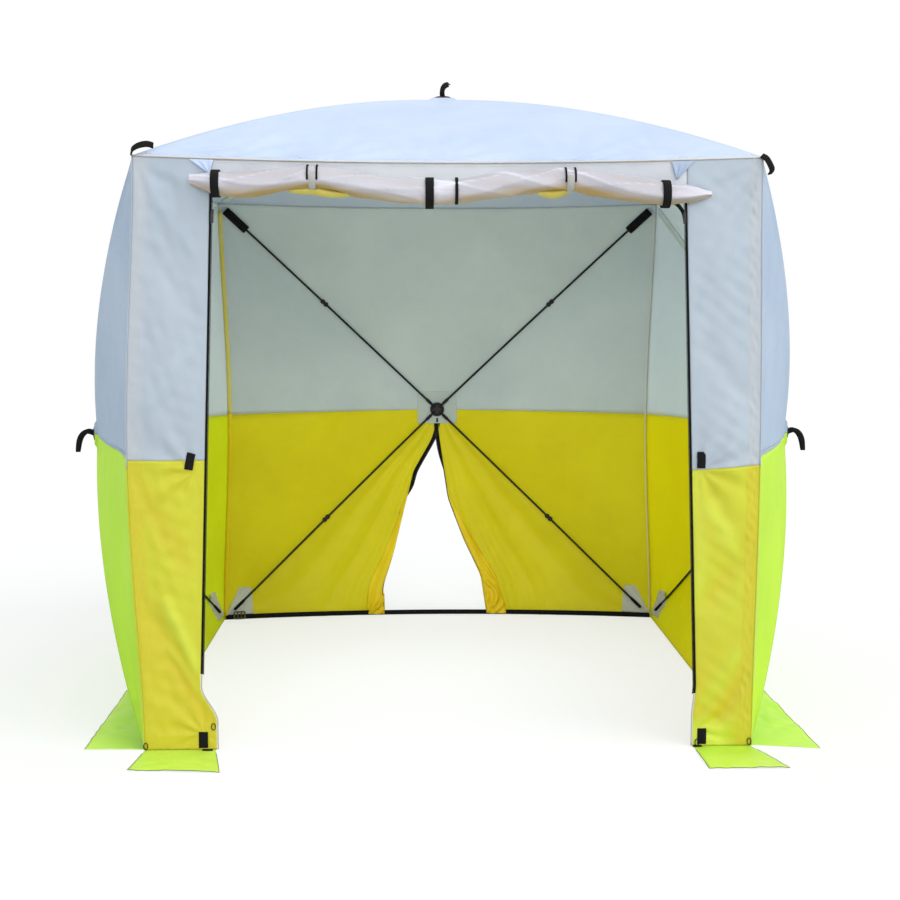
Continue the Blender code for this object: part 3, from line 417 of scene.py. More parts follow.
FINISH.update({
    "plastic": hard("black_nylon", rgb(13, 13, 14), rgb(24, 24, 26), 0.50, 0.00012),
    "fibreglass": hard("fibreglass_rod", rgb(11, 11, 12), rgb(22, 22, 24), 0.42, 0.00004),
    "zip": hard("zip_teeth", rgb(9, 9, 10), rgb(18, 18, 20), 0.42, 0.00004),
    "steel": hard("zinc_steel", rgb(176, 178, 180), rgb(150, 150, 152), 0.30, 0.00003, metallic=1.0),
    "slider": hard("painted_slider", rgb(16, 16, 18), rgb(44, 44, 46), 0.38, 0.00005),
    "olive": hard("olive_buckle", rgb(86, 84, 52), rgb(104, 100, 66), 0.50, 0.00008),
    "webbing": woven("black_webbing", rgb(11, 11, 12), rgb(24, 24, 26)),
    "boot": woven("rod_boot", rgb(8, 8, 9), rgb(18, 18, 20), rib=0.0030),
    "grey_tape": woven("grey_tape", rgb(176, 174, 170), rgb(196, 194, 190), rib=0.0016, depth=0.0001),
    "thread_pale": hard("pale_thread", rgb(206, 210, 216), rgb(190, 196, 204), 0.6, 0.00005),
    "thread_yellow": hard("yellow_thread", rgb(214, 206, 60), rgb(196, 186, 48), 0.6, 0.00005),
})
print("finishes in all:", len(FINISH))


def finish_solid(node, finish):
    """Gives a solid that stays in view its finish."""
    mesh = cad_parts[node].data
    mesh.materials.clear()
    mesh.materials.append(FINISH[finish])


# %% [markdown]
# ## Sheets and straps from points
# Two helpers make nearly everything that is sewn. One turns a grid of points into a sheet and gives it a UV
# map in metres; a Solidify modifier then gives the cloth its real thickness, with the inside in a finish of
# its own. The other sweeps a flat rounded section along a path, as a strap or a tape.


# %% Helpers for sheets
def new_object(name, mesh):
    made = bpy.data.objects.new(name, mesh)
    bpy.context.scene.collection.objects.link(made)
    return made


def grid_sheet(name, points, uv, finishes, outward, thickness=0.0011, wrap=False, tint=None):
    """A sheet through a grid of points. outward is the way that its first finish faces, and tint a value at
    each point for finishes that read it."""
    rows, columns = points.shape[:2]
    count = columns if wrap else columns - 1
    one = np.arange(rows - 1)[:, None] * columns + np.arange(count)[None]
    two = np.arange(rows - 1)[:, None] * columns + (np.arange(count)[None] + 1) % columns
    quads = np.stack((one, two, two + columns, one + columns), axis=-1).reshape(-1, 4)
    flat = points.reshape(-1, 3)
    a, b, c = flat[quads[:, 0]], flat[quads[:, 1]], flat[quads[:, 2]]
    normal = np.cross(b - a, c - b)
    facing = normal @ np.array(outward, float)
    if facing.sum() < 0:
        quads = quads[:, ::-1]
    mesh = bpy.data.meshes.new(name)
    mesh.from_pydata(flat.tolist(), [], quads.tolist())
    layer = mesh.uv_layers.new(name="cloth")
    layer.data.foreach_set("uv", uv.reshape(-1, 2)[quads.ravel()].ravel().astype(np.float32))
    if tint is not None:
        values = np.ravel(tint).astype(np.float32)
        mesh.attributes.new("tint", "FLOAT", "POINT").data.foreach_set("value", values)
    mesh.shade_smooth()
    for finish in finishes:
        mesh.materials.append(FINISH[finish])
    made = new_object(name, mesh)
    if thickness:
        wall = made.modifiers.new("thickness", "SOLIDIFY")
        wall.thickness, wall.offset = thickness, 0.0
        wall.material_offset = wall.material_offset_rim = len(finishes) - 1
    return made


def smooth_path(points, steps):
    """More points on a smooth curve through the given ones."""
    points = [Vector(p) for p in points]
    made = []
    for i in range(len(points) - 1):
        p0, p1, p2, p3 = points[max(i - 1, 0)], points[i], points[i + 1], points[min(i + 2, len(points) - 1)]
        for k in range(steps):
            t = k / steps
            made.append(0.5 * (2 * p1 + (p2 - p0) * t + (2 * p0 - 5 * p1 + 4 * p2 - p3) * t**2
                               + (3 * p1 - p0 - 3 * p2 + p3) * t**3))
    return made + [points[-1]]


def strap_parts(bm, path, widths, width, thickness, ring=False):
    """Adds a strap along a path to a bmesh. Each of widths points across the strap at that place."""
    uv_layer = bm.loops.layers.uv.get("cloth") or bm.loops.layers.uv.new("cloth")
    half, edge = width / 2, thickness / 2
    round_in = min(edge, half * 0.4)
    section = [(-half + round_in, edge), (0.0, edge), (half - round_in, edge), (half, 0.0),
               (half - round_in, -edge), (0.0, -edge), (-half + round_in, -edge), (-half, 0.0)]
    loops, lengths, total = [], [], 0.0
    for i, point in enumerate(path):
        ahead = path[(i + 1) % len(path)] if ring or i + 1 < len(path) else point
        behind = path[i - 1] if ring or i else point
        along = (ahead - behind).normalized()
        side = (widths[i] - along * widths[i].dot(along)).normalized()
        lift = along.cross(side)
        if i:
            total += (point - path[i - 1]).length
        loops.append([bm.verts.new(point + side * x + lift * y) for x, y in section])
        lengths.append(total)
    count = len(section)
    spans = list(range(len(loops) - 1)) + ([len(loops) - 1] if ring else [])
    for i in spans:
        j = (i + 1) % len(loops)
        for k in range(count):
            m = (k + 1) % count
            face = bm.faces.new((loops[i][k], loops[j][k], loops[j][m], loops[i][m]))
            far = lengths[j] if j else lengths[-1] + (path[0] - path[-1]).length
            for loop, (x, y) in zip(face.loops, ((k, lengths[i]), (k, far), (m, far), (m, lengths[i]))):
                loop[uv_layer].uv = (section[x][0], y)
            face.smooth = True
    if not ring:
        bm.faces.new(loops[0])
        bm.faces.new(list(reversed(loops[-1])))
    return bm


def close_mesh(name, bm, finish):
    """The bmesh as an object in one finish, with its faces turned outwards."""
    bmesh.ops.recalc_face_normals(bm, faces=bm.faces)
    mesh = bpy.data.meshes.new(name)
    bm.to_mesh(mesh)
    bm.free()
    mesh.materials.append(FINISH[finish])
    return new_object(name, mesh)


def pop_with(obj):
    """Sets the piece's place into its mesh and returns it."""
    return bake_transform(obj)


def ripple(x, y, wavelength, seed, waves=8):
    """Soft uneven ripples between about -1 and 1, from plane waves in seeded directions."""
    draws = np.random.default_rng(seed)
    total = 0.0
    for angle, phase, size in draws.uniform(0, 1, (waves, 3)):
        k = 2 * math.pi / (wavelength * (0.7 + 0.8 * size))
        turn = angle * 2 * math.pi
        total = total + np.sin(k * (x * math.cos(turn) + y * math.sin(turn)) + phase * 2 * math.pi)
    return total / math.sqrt(waves)


def fan(x, y, at, count, reach, phase=0.0):
    """Folds that spread from a point where the cloth is pulled."""
    dx, dy = x - at[0], y - at[1]
    far = np.hypot(dx, dy)
    return np.sin(np.arctan2(dy, dx) * count + phase) * np.exp(-far / reach) * (1 - np.exp(-far / 0.03))


# %% [markdown]
# ## The four sprung faces
# Each face's cloth runs in square rings from the hub to the seams, so its grid has a line over every rod and
# the ridges come out crisp. Small ripples and the folds that spread from each corner are added between the
# rods, where the cloth is free to move. A fold fades where a rod holds the cloth.

# %% Rings and creases
RING_CORNERS = np.array([(1, 0), (1, 1), (0, 1), (-1, 1), (-1, 0), (-1, -1), (0, -1), (1, -1), (1, 0)], float)
HOLE, CLAMP = 0.0092, 0.036
TIE_PLACES = (-0.66, -0.38, -0.055, 0.348, 0.625)


def square_ring(stations):
    """Places on a square ring of half size 1, counted from the middle of its right side."""
    return np.stack([np.interp(stations, range(9), RING_CORNERS[:, k]) for k in (0, 1)], axis=-1)


def round_ring(stations):
    """Places on a circle of radius 1, counted as those of the square ring are."""
    return np.stack((np.cos(stations * math.pi / 4), np.sin(stations * math.pi / 4)), axis=-1)


def ring_shares(rows):
    """Shares of the way from the hub to the seams, closer together along the seams."""
    return np.concatenate((np.linspace(0.055, 0.94, rows), np.linspace(0.952, 1.0, 6)))


def creases(face, across, up):
    """How far the cloth's small folds stand out, nothing over a rod, at the hub and on the seams."""
    a, b = np.abs(across) / face.half_width, np.abs(up) / face.half_height
    ring = np.maximum(a, b)
    along = np.minimum(a, b) / np.maximum(ring, 1e-9)
    seed = sum(map(ord, face.name))
    total = 0.0022 * ripple(across, up, 0.34, seed) + 0.0009 * ripple(across, up, 0.11, seed + 1)
    for i, (x, y) in enumerate(((-1, -1), (-1, 1), (1, -1), (1, 1))):
        corner = (x * face.half_width, y * face.half_height)
        total = total + 0.0045 * fan(across, up, corner, 17, 0.30, i)
    if face.name == "roof":
        for i, x in enumerate(TIE_PLACES):
            total = total + 0.0085 * fan(across, up, (x, -face.half_height - 0.02), 15, 0.15, i)
    free = 1 - along**8
    return total * free * np.clip((ring - 0.06) / 0.2, 0, 1) * np.clip((1 - ring) / 0.03, 0, 1)


# %% Cloth of the roof and the walls
CLOTH_COLUMNS, CLOTH_ROWS = 36, 64


def face_grid(face, stations, shares):
    """Points and UV places of a face's cloth over its rings, from its hub's stem to its seams."""
    unit = square_ring(stations)
    flat = [HOLE * round_ring(stations), unit * CLAMP]
    flat = np.array(flat + [unit * share * (face.half_width, face.half_height) for share in shares])
    across, up = flat[..., 0], flat[..., 1].copy()
    height = face.cloth_height(across, up) + creases(face, across, up)
    height[:2] = face.reach
    a, b = np.abs(across) / face.half_width, up / face.half_height
    if face.name != "roof":
        sag = EAVE_SAG * (1 - (a / np.maximum(b, 1e-9)) ** 2) * b**4
        up = np.where(b > a, up - sag, up)
    return face.world(across, up, height), flat


def face_cloth(name, face, first, last, finishes, node):
    """One panel of a face between two stations. Its seam edges stand a hair apart from the next panel's."""
    wrap = last - first == 8
    stations = np.linspace(first, last, (last - first) * CLOTH_COLUMNS + 1)
    if wrap:
        stations = stations[:-1]
    points, uv = face_grid(face, stations, ring_shares(CLOTH_ROWS))
    if not wrap:
        points[:, (0, -1), 2] += SEAM_GAP * (1 if first == 0 else -1)
    made = grid_sheet(name, points, uv, finishes, face.normal, wrap=wrap)
    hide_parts(node)
    return pop_with(made)


face_cloth("roof_cloth", FACES["roof"], 0, 8, ("roof", "roof_inside"), "roof_panel")
for side in ("left", "right"):
    face_cloth(f"{side}_wall_pale", FACES[side], 0, 4, ("pale_side", "pale_inside_side"),
               f"{side}_wall_upper")
    face_cloth(f"{side}_wall_lime", FACES[side], 4, 8, ("lime", f"gold_inside_{side}"),
               f"{side}_wall_lower")
face_cloth("back_wall_pale", FACES["back"], 0, 4, ("pale", "pale_inside"), "back_wall_upper")
print("sprung faces dressed")

# %% [markdown]
# ## Patches round the hubs
# Inside the tent a pale patch is sewn round each hub, where the cloth would chafe. It follows the cloth's own
# height a little further in, so that it lies under the cloth.

# %% Hub patches
HUB_PATCH_HOLE, HUB_PATCH_HALF, HUB_PATCH_RISE, HUB_PATCH_DEPTH = 0.0292, (0.0855, 0.0695), (0, 0.009), 0.0026
for face in FACES.values():
    stations = np.linspace(0, 8, 97)[:-1]
    hole = HUB_PATCH_HOLE * round_ring(stations)
    edge = square_ring(stations) * HUB_PATCH_HALF + HUB_PATCH_RISE
    flat = np.array([hole * (1 - part) + part * edge for part in np.linspace(0, 1, 14)])
    height = face.cloth_height(flat[..., 0], flat[..., 1]) + creases(face, flat[..., 0], flat[..., 1])
    points = face.world(flat[..., 0], flat[..., 1], height - HUB_PATCH_DEPTH)
    made = grid_sheet(f"{face.name}_hub_patch", points, flat, ("pale_inside",), -face.normal,
                      thickness=0.0008, wrap=True)
    pop_with(made)
print("hub patches:", len(FACES))

# %% [markdown]
# ## The two halves of the back door
# The lower half of the back wall is split by a zip under the hub. Both halves hang drawn aside, so a tall
# opening shows, and each half gathers into soft upright folds towards its free edge. The grid runs from the
# outer seam to the free edge, which follows the curve seen in the picture.

# %% The leaves' free edges
DOOR_HALF_WIDTH, DOOR_CLOSED_HALF = 0.240, 0.0046
LEAF_SIGNS = {"left": 1, "right": -1}
LEAF_EDGES = {
    "left": ((0.0, 0.0), (0.05, 0.0), (0.15, 0.10), (0.31, 0.44), (0.71, 0.80), (0.86, 0.98), (1.0, 0.96)),
    "right": ((0.0, 0.0), (0.05, 0.0), (0.20, 0.07), (0.44, 0.20), (0.64, 0.48), (0.81, 0.78), (1.0, 0.88)),
}


def leaf_edge(side, share):
    """How far from the middle a leaf's free edge lies, at a share of the way down."""
    table = np.array(LEAF_EDGES[side])
    fine = np.linspace(0, 1, 401)
    line = np.interp(fine, table[:, 0], table[:, 1])
    window = np.hanning(41)
    padded = np.concatenate((np.full(20, line[0]), line, np.full(20, line[-1])))
    line = np.convolve(padded, window / window.sum(), mode="valid")
    return max(DOOR_HALF_WIDTH * float(np.interp(share, fine, line)), DOOR_CLOSED_HALF)


def foot_lift(share):
    """1 at the foot of a leaf's free edge, falling to nothing a little higher up."""
    return max(share - 0.93, 0) / 0.07


# %% A leaf's grid
DOOR_FOLD, DOOR_GATHER, DOOR_TURN, FOOT_LIFT = 0.012, 0.007, 0.010, 0.014
LEAF_OUTER, LEAF_LOWER, LEAF_ROWS = 26, 64, 60


def leaf_points(face, side, shares):
    """The grid of a leaf: down its outer side and then along to its free edge, one row for each ring."""
    sign, outer, hem = LEAF_SIGNS[side], LEAF_OUTER, LEAF_LOWER
    turn = np.linspace(0, math.acos(DOOR_CLOSED_HALF / HOLE), outer + hem + 1)
    stem = (sign * HOLE * np.cos(turn), -HOLE * np.sin(turn), np.full(turn.shape, face.reach))
    rows = [np.stack(stem, axis=-1)]
    flats = [rows[0][:, :2]]
    for share in (CLAMP / face.half_height, *shares):
        part = np.linspace(0, 1, outer + 1)[:-1]
        across = np.full(outer, sign * share * face.half_width)
        up = -share * face.half_height * part
        parts = np.linspace(0, 1, hem + 1)
        edge = leaf_edge(side, share)
        across2 = sign * (share * face.half_width * (1 - parts) + edge * parts)
        up2 = np.full(hem + 1, -share * face.half_height)
        height = face.cloth_height(across, up) + creases(face, across, up)
        height2 = face.cloth_height(across2, up2) + creases(face, across2, up2)
        hang = np.sin(5 * math.pi * parts) * np.sin(math.pi * parts) * share * (1 - share**6)
        loose = parts**3 * share**1.5
        gather = loose * np.sin(2 * math.pi * (parts * 9 + share * 1.3 * sign))
        height2 = height2 + DOOR_FOLD * hang + DOOR_GATHER * gather - DOOR_TURN * parts**24 * share
        if share <= CLAMP / face.half_height:
            height, height2 = np.full(outer, face.reach), np.full(hem + 1, face.reach)
        lift = FOOT_LIFT * parts**10 * foot_lift(share)
        rows.append(np.stack((np.concatenate((across, across2)), np.concatenate((up, up2 + lift)),
                              np.concatenate((height, height2))), axis=-1))
        drawn = sign * share * face.half_width * (1 - parts)
        flats.append(np.stack((np.concatenate((across, drawn)), np.concatenate((up, up2))), axis=-1))
    return np.array(rows), np.array(flats)


# %% [markdown]
# ## The leaves' turned edges
# Along its free edge each leaf is turned in and stitched, and the picture shows the turned strip as a golden
# band that puffs a little. It is the leaf's own grid again, taken near the edge, so the two always fit.

# %% A leaf's turned edge
HEM_FIRST, HEM_COLUMNS, HEM_CELLS, HEM_SWELL, HEM_DEPTH = 24, 10, 7.5, 0.0085, 0.0075


def turned_edge(side, local):
    """Places of a leaf's turned edge, from the leaf's own places."""
    count = len(local) - HEM_FIRST
    taper = np.clip((np.arange(count) + 2) / 30, 0, 1) ** 0.8
    places = local.shape[1] - 1 - HEM_CELLS * taper[:, None] * np.linspace(1, 0, HEM_COLUMNS)[None]
    fold = np.stack([[np.interp(places[r], np.arange(local.shape[1]), local[HEM_FIRST + r, :, k])
                      for r in range(count)] for k in range(3)], axis=-1)
    rise = np.sin(math.pi * np.linspace(0, 1, HEM_COLUMNS))[None] ** 0.7
    puff = 0.6 + 0.4 * np.sin(np.linspace(0, 23, count) + LEAF_SIGNS[side])[:, None]
    fold[..., 2] -= 0.0018 + HEM_SWELL * rise * puff * taper[:, None]
    return fold


# %% Back door leaves
back = FACES["back"]
for side in ("left", "right"):
    local, uv = leaf_points(back, side, ring_shares(LEAF_ROWS))
    points = back.world(local[..., 0], local[..., 1], local[..., 2])
    points[:, 0, 2] -= SEAM_GAP
    leaf = grid_sheet(f"back_door_leaf_{side}", points, uv, ("lime", "gold_inside"), back.normal)
    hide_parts(f"back_wall_lower_{side}")
    pop_with(leaf)
    fold = turned_edge(side, local)
    points = back.world(fold[..., 0], fold[..., 1], fold[..., 2])
    hem = grid_sheet(f"door_leaf_hem_{side}", points, fold[..., :2], ("gold_hem",), -back.normal,
                     thickness=0.0009)
    pop_with(hem)
print("back door leaves hung, each with its turned edge")

# %% [markdown]
# ## Cloth bunched over the hem strap
# At the foot of the back door the strap across the hem holds each leaf aside, and the loose cloth bunches
# over it. A bunch is one small sheet, raised into a lump with close folds, and set just inside its leaf.

# %% Bunches
BUNCHES = {"left": (0.085, 0.072), "right": (0.210, 0.088)}
BUNCH_ROWS, BUNCH_COLUMNS = 60, 34
BUNCH_RISE, BUNCH_SWELL, BUNCH_FOLD, BUNCH_DEPTH = 0.006, 0.014, 0.015, 0.024
for side, (tall, wide) in BUNCHES.items():
    sign = LEAF_SIGNS[side]
    u, v = np.linspace(0, 1, BUNCH_COLUMNS)[None], np.linspace(0, 1, BUNCH_ROWS)[:, None]
    up = -back.half_height + BUNCH_RISE + v * tall
    edge = np.array([leaf_edge(side, min(-float(h) / back.half_height, 1.0)) for h in up[:, 0]])[:, None]
    across = sign * (edge - 0.004 + u * wide * (1 - 0.55 * v**1.5))
    lump = np.sin(math.pi * u) ** 0.7 * np.sin(math.pi * (0.12 + 0.88 * v)) ** 0.7
    folds = 0.5 + 0.5 * np.sin(across * 150 + 9 * np.sin(up * 22) + sign)
    folds = folds + 0.30 * ripple(across, up, 0.045, 61 + BUNCH_ROWS * sign)
    swell = lump * (BUNCH_SWELL + BUNCH_FOLD * np.clip(folds, 0, 1.4) * (1 - 0.4 * v))
    points = back.world(across, up + 0 * across, back.cloth_height(across, up) - 0.0032 - swell)
    flat = np.stack(np.broadcast_arrays(across, up + 0 * across), axis=-1)
    bunch = grid_sheet(f"door_leaf_bunch_{side}", points, flat, ("gold_hem",), -back.normal)
    pop_with(bunch)
print("bunches:", len(BUNCHES))

# %% [markdown]
# ## The posts beside the front door
# Two upright strips of cloth, pale above and yellow below, run from the eave to the ground. They are the
# only cloth that no rod stretches, so they carry the deepest folds: long slanting ones on the yellow half,
# and a flare where the left strip is pegged at its foot.

# %% Edges and seams of the posts
POST_TOP, POST_LOW, POST_FLARES = 0.215, 0.165, {"left": 0.046, "right": 0.008}
FLARE_TOP, FLARE_FOOT, ZIP_TOP = 0.190, 0.085, 1.640
POST_WAVE, HEADER_DEPTH = 0.009, 0.078
POST_SEAMS, SEAM_TILTS = {"left": 0.860, "right": 0.843}, {"left": 0.0, "right": 0.016}
TAPE_COVER = 0.0024


def post_edge(height, side):
    """How far in from the tent's corner a post's zip edge lies, with its flare rounded."""
    height = np.asarray(height, float)
    width = np.interp(height, (FLARE_TOP, ZIP_TOP), (POST_LOW, POST_TOP))
    soft = np.clip((height - FLARE_FOOT) / (FLARE_TOP - FLARE_FOOT), 0, 1)
    flare = POST_LOW + POST_FLARES[side] * (1 - soft * soft * (3 - 2 * soft))
    return np.where(height < FLARE_TOP, flare, width)


def seam_height(side, part):
    """Where a post's pale cloth meets its yellow cloth, a part of the way in from the corner."""
    return POST_SEAMS[side] - SEAM_TILTS[side] * part


def eave_at(across):
    return EAVE - 0.0003 - EAVE_SAG * (1 - (across / HALF) ** 2)


def front_seam(sign, z):
    """How far a front corner seam bows outwards at a height."""
    return FRONT_SEAM_BOWS["left" if sign < 0 else "right"] * seam_shape(2 * np.asarray(z) / EAVE - 1)


# %% [markdown]
# ## The posts' folds
# Cloth that is pulled at two points folds along the line between them. Each post has a short list of such
# lines, read from the picture, and a smooth valley or ridge is laid along each. The same lines tint the
# cloth with painted shade along the folds that sink in and a painted highlight along those that stand out,
# because in the light a fold in thin coated cloth shows darker or lighter than the cloth beside it.

# %% Folds of the posts
def valley(x, z, one, two, width):
    """1 along the line between two places on a post, falling away on both sides of it."""
    (x1, z1), (x2, z2) = one, two
    dx, dz = x2 - x1, z2 - z1
    length = math.hypot(dx, dz)
    along = ((x - x1) * dx + (z - z1) * dz) / length**2
    off = ((x - x1) * dz - (z - z1) * dx) / length
    return np.exp(-(off / width) ** 2) * np.clip(1.15 - np.abs(2 * along - 1) ** 4, 0, 1)


# Slanting folds of each post: from and to, as places in from the corner and up, width and how far out.
POST_FOLDS = {
    "left": (((0.010, 0.46), (0.200, 0.070), 0.026, -0.011), ((0.075, 0.46), (0.175, 0.200), 0.020, 0.009),
             ((0.060, 0.340), (0.200, 0.110), 0.014, 0.008), ((0.020, 0.80), (0.150, 0.52), 0.030, -0.005),
             ((0.020, 1.50), (0.190, 1.25), 0.024, -0.006), ((0.030, 1.66), (0.200, 1.42), 0.022, 0.006),
             ((0.190, 1.22), (0.030, 0.98), 0.026, 0.006)),
    "right": (((0.020, 0.62), (0.160, 0.40), 0.030, -0.008), ((0.030, 0.30), (0.150, 0.12), 0.022, 0.006),
              ((0.150, 0.74), (0.040, 0.55), 0.024, 0.006), ((0.015, 0.22), (0.120, 0.05), 0.020, -0.008),
              ((0.020, 1.52), (0.190, 1.30), 0.024, 0.006), ((0.180, 1.20), (0.020, 1.02), 0.028, -0.006),
              ((0.020, 1.66), (0.150, 1.48), 0.018, -0.006)),
}
POST_SWELL, POST_SLOPE = 0.0002, 0.030  # how far out a fold may stand at the ground, and how much more above


def post_surface(sign, part, z):
    """Places on a post's cloth and its tint, at a part of the way in from the corner and a height."""
    side = "left" if sign < 0 else "right"
    width = post_edge(np.minimum(z, ZIP_TOP), side) + TAPE_COVER
    across = sign * (HALF - width * part + front_seam(sign, z) * (1 - part))
    inward = width * part
    wave = POST_WAVE * np.sin(math.pi * part) * np.sin(math.pi * np.clip(z / EAVE, 0, 1)) ** 2
    hold = np.sin(math.pi * part) ** 0.6 * np.clip(z / 0.03, 0, 1) * np.clip((EAVE - 0.02 - z) / 0.05, 0, 1)
    x = np.abs(across)
    fold = 0.0030 * ripple(x, z * 0.45, 0.15, 5 + sign) + 0.0011 * ripple(x, z, 0.05, 9 + sign)
    fold = fold + 0.006 * fan(x, z, (HALF - POST_LOW, 0.83), 9, 0.20, 1.0 + sign)
    fold = fold + 0.006 * fan(x, z, (HALF - POST_LOW - 0.01, 0.05), 9, 0.14, 2.0 - sign)
    fold = fold + 0.005 * fan(x, z, (HALF, EAVE), 11, 0.16, 0.5)
    # The tint is painted light: above nothing it turns the cloth to its painted shade, below nothing to its
    # painted highlight.
    tint = 0.0
    for one, two, wide, out in POST_FOLDS[side]:
        line = valley(inward, z, one, two, wide)
        fold = fold + out * line
        tint = tint + (-1.0 if out > 0 else 0.8) * line * 0.8
    seam = seam_height(side, part)
    # The corner band is painted shade where the cloth turns round the corner, and its crinkles carry painted
    # shade and highlight.
    edge = 0.010 if sign > 0 else 0.022
    band = np.clip((0.036 + edge / 2 - inward) / edge, 0, 1)
    rough = (0.0013 if sign > 0 else 0.0003) * ripple(z, inward * 2.0, 0.030, 77 + sign)
    crinkle = rough * np.clip(inward / 0.01, 0, 1) * band
    tint = np.where(z < seam, tint * 0.8, tint * 0.3) * (1 - band) + band * (0.65 + 160 * crinkle)
    # Painted shade deepens the yellow cloth towards the ground. On the right post a painted highlight
    # lightens it beside the zip and at the foot.
    if sign > 0:
        low, near_zip = np.clip((0.5 - z) / 0.3, 0, 1), np.clip((part - 0.72) / 0.2, 0, 1)
        tint = tint + np.where(z < seam, 0.55 * low * (1 - band), 0)
        tint = tint - np.where(z < seam, 0.5 * near_zip * np.clip((z - 0.3) / 0.2, 0, 1), 0)
        tint = tint - 1.6 * np.clip((0.10 - z) / 0.06, 0, 1) * np.clip((part - 0.25) / 0.3, 0, 1)
    else:
        low = np.clip((0.46 - 1.2 * inward - z) / 0.10, 0, 1)
        tint = tint + np.where(z < seam, 0.7 * low * (1 - band), 0)
    out = wave + fold * hold + crinkle * np.clip(z / 0.03, 0, 1)
    y = FRONT_PLANE - np.minimum(out, POST_SWELL + POST_SLOPE * np.maximum(z, 0))
    return across, y, np.clip(tint, -1, 1.2)


# %% Front posts
POST_FLAT_WIDTH, POST_TAPER_SHARE, POST_ROWS, POST_COLUMNS = 0.215, 0.86, 150, 44


def post_grid(sign, low, high):
    """Points and tints of a post's upper or lower cloth. low and high are gaps from its seam: low of 0 starts
    at the ground, and high of None ends at the eave."""
    part, share = np.linspace(0, 1, POST_COLUMNS + 1)[None], np.linspace(0, 1, POST_ROWS + 1)[:, None]
    seam = seam_height("left" if sign < 0 else "right", part)
    foot = seam + low if low else 0.0
    top = eave_at(HALF - POST_TOP * part) if high is None else seam + high
    z = foot + share * (top - foot) + 0 * part
    across, y, tint = post_surface(sign, part + 0 * z, z)
    return np.stack((across, y, z), axis=-1), np.stack((across, z), axis=-1), tint


def on_post(sign, inward, z, out):
    """A place on a post's cloth, a distance in from its outer edge and out from its face."""
    part = inward / float(post_edge(min(z, ZIP_TOP), "left" if sign < 0 else "right"))
    x, y, _ = post_surface(sign, np.array(part), np.array(z))
    return Vector((float(x), float(y) - out, z))


POST_PARTS = {"yellow": (0.0, -SEAM_GAP, 0.85, ("yellow", "gold_inside"), "hi_vis_cloth"),
              "pale": (SEAM_GAP, None, 0.88, ("pale", "pale_inside"), "pale_cloth")}
for side, sign in (("left", -1), ("right", 1)):
    for part_name, (low, high, tall, finishes, slot) in POST_PARTS.items():
        points, uv, tint = post_grid(sign, low, high)
        post = grid_sheet(f"front_post_{side}_{part_name}", points, uv, finishes, (0, -1, 0), tint=tint)
        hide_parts(f"front_post_{side}")
        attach(post, "root")
print("front posts hung, in", 2 * len(POST_PARTS), "pieces")

# %% [markdown]
# ## The header
# A narrow band of cloth hangs from the eave between the posts and carries the rolled door. It is nearly
# flat, so a plain grid with a faint ripple is enough.

# %% Header
half = HALF - POST_TOP - 0.0009
across = np.linspace(-half, half, 150)[None]
drop = np.linspace(0, HEADER_DEPTH, 10)[:, None]
wave = 0.0012 * ripple(across, drop, 0.10, 3) * np.sin(math.pi * drop / HEADER_DEPTH)
header = np.stack(np.broadcast_arrays(across, FRONT_PLANE + 0.0016 - wave, eave_at(across) - drop), axis=-1)
band = grid_sheet("header_band", header, header[..., (0, 2)], ("header", "pale_inside"), (0, -1, 0))
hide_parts("front_header")
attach(band, "root")
print("header", round(2 * half, 3), "m long")

# %% [markdown]
# ## Corners of the roof's edge
# The two outer straps pull the roof's edge down in front of the posts, each into a small three-cornered
# fold. It is a sheet that narrows from the eave to a point at the strap, with fine pleats across it.

# %% Roof edge folds
# The right fold wears the bluer side-wall cloth as a painted shadow, the shade behind its strap.
EDGE_FOLDS = {"left": ((-0.741, -0.670), (-0.682, 1.682), "roof"),
              "right": ((0.704, 0.636), (0.652, 1.668), "pale_side")}
for side, (ends, (tip, low), finish) in EDGE_FOLDS.items():
    u, v = np.linspace(0, 1, 24)[None], np.linspace(0, 1, 14)[:, None]
    top = ends[0] + (ends[1] - ends[0]) * u
    x = top * (1 - v) + (tip + (top - tip) * 0.06) * v
    z = (eave_at(top) - 0.0022) * (1 - v) + low * v
    y = FRONT_PLANE - 0.0034 - 0.0022 * np.sin(5 * math.pi * u) * np.sin(math.pi * v * 0.9) - 0.004 * v
    points = np.stack(np.broadcast_arrays(x, y, z), axis=-1)
    fold = grid_sheet(f"roof_edge_fold_{side}", points, points[..., (0, 2)], (finish, finish), (0, -1, 0),
                      thickness=0.0009)
    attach(fold, "root")
print("roof edge folds:", len(EDGE_FOLDS))

# %% [markdown]
# ## The rolled door
# The door is rolled up from its hem. A roll is really one long sheet wound round itself, so it is built that
# way: a spiral of twelve turns, drawn in where the straps hold it and slack between them. A short table says
# how high the roll hangs and how thick it is along its length, as shares of its sway and radius.

# %% The roll's line
ROLL_LEFT, ROLL_RIGHT, ROLL_AXIS = SIDE / 2 - 0.162, SIDE / 2 - 0.148, EAVE - 0.082
ROLL_RADIUS, ROLL_SWAY, ROLL_BEHIND = 0.040, 0.040, 0.0029
ROLL_SHARES = np.array((
    (0.0, 0.35, 0.25), (0.05, 0.04, 0.84), (0.10, -0.02, 0.98), (0.17, 0.20, 0.92), (0.235, 0.55, 0.78),
    (0.31, 0.05, 0.92), (0.40, -0.50, 0.92), (0.457, -0.62, 0.96), (0.508, -0.45, 0.86), (0.61, 0.05, 0.90),
    (0.725, 0.42, 0.76), (0.82, -0.20, 1.0), (0.91, -0.65, 0.84), (0.96, -0.60, 0.66), (1.0, -0.55, 0.18)))
STRAPS = {"left": 0.052, "middle": 0.457, "right": 0.908}
TOGGLES = {"left": 0.235, "right": 0.725}


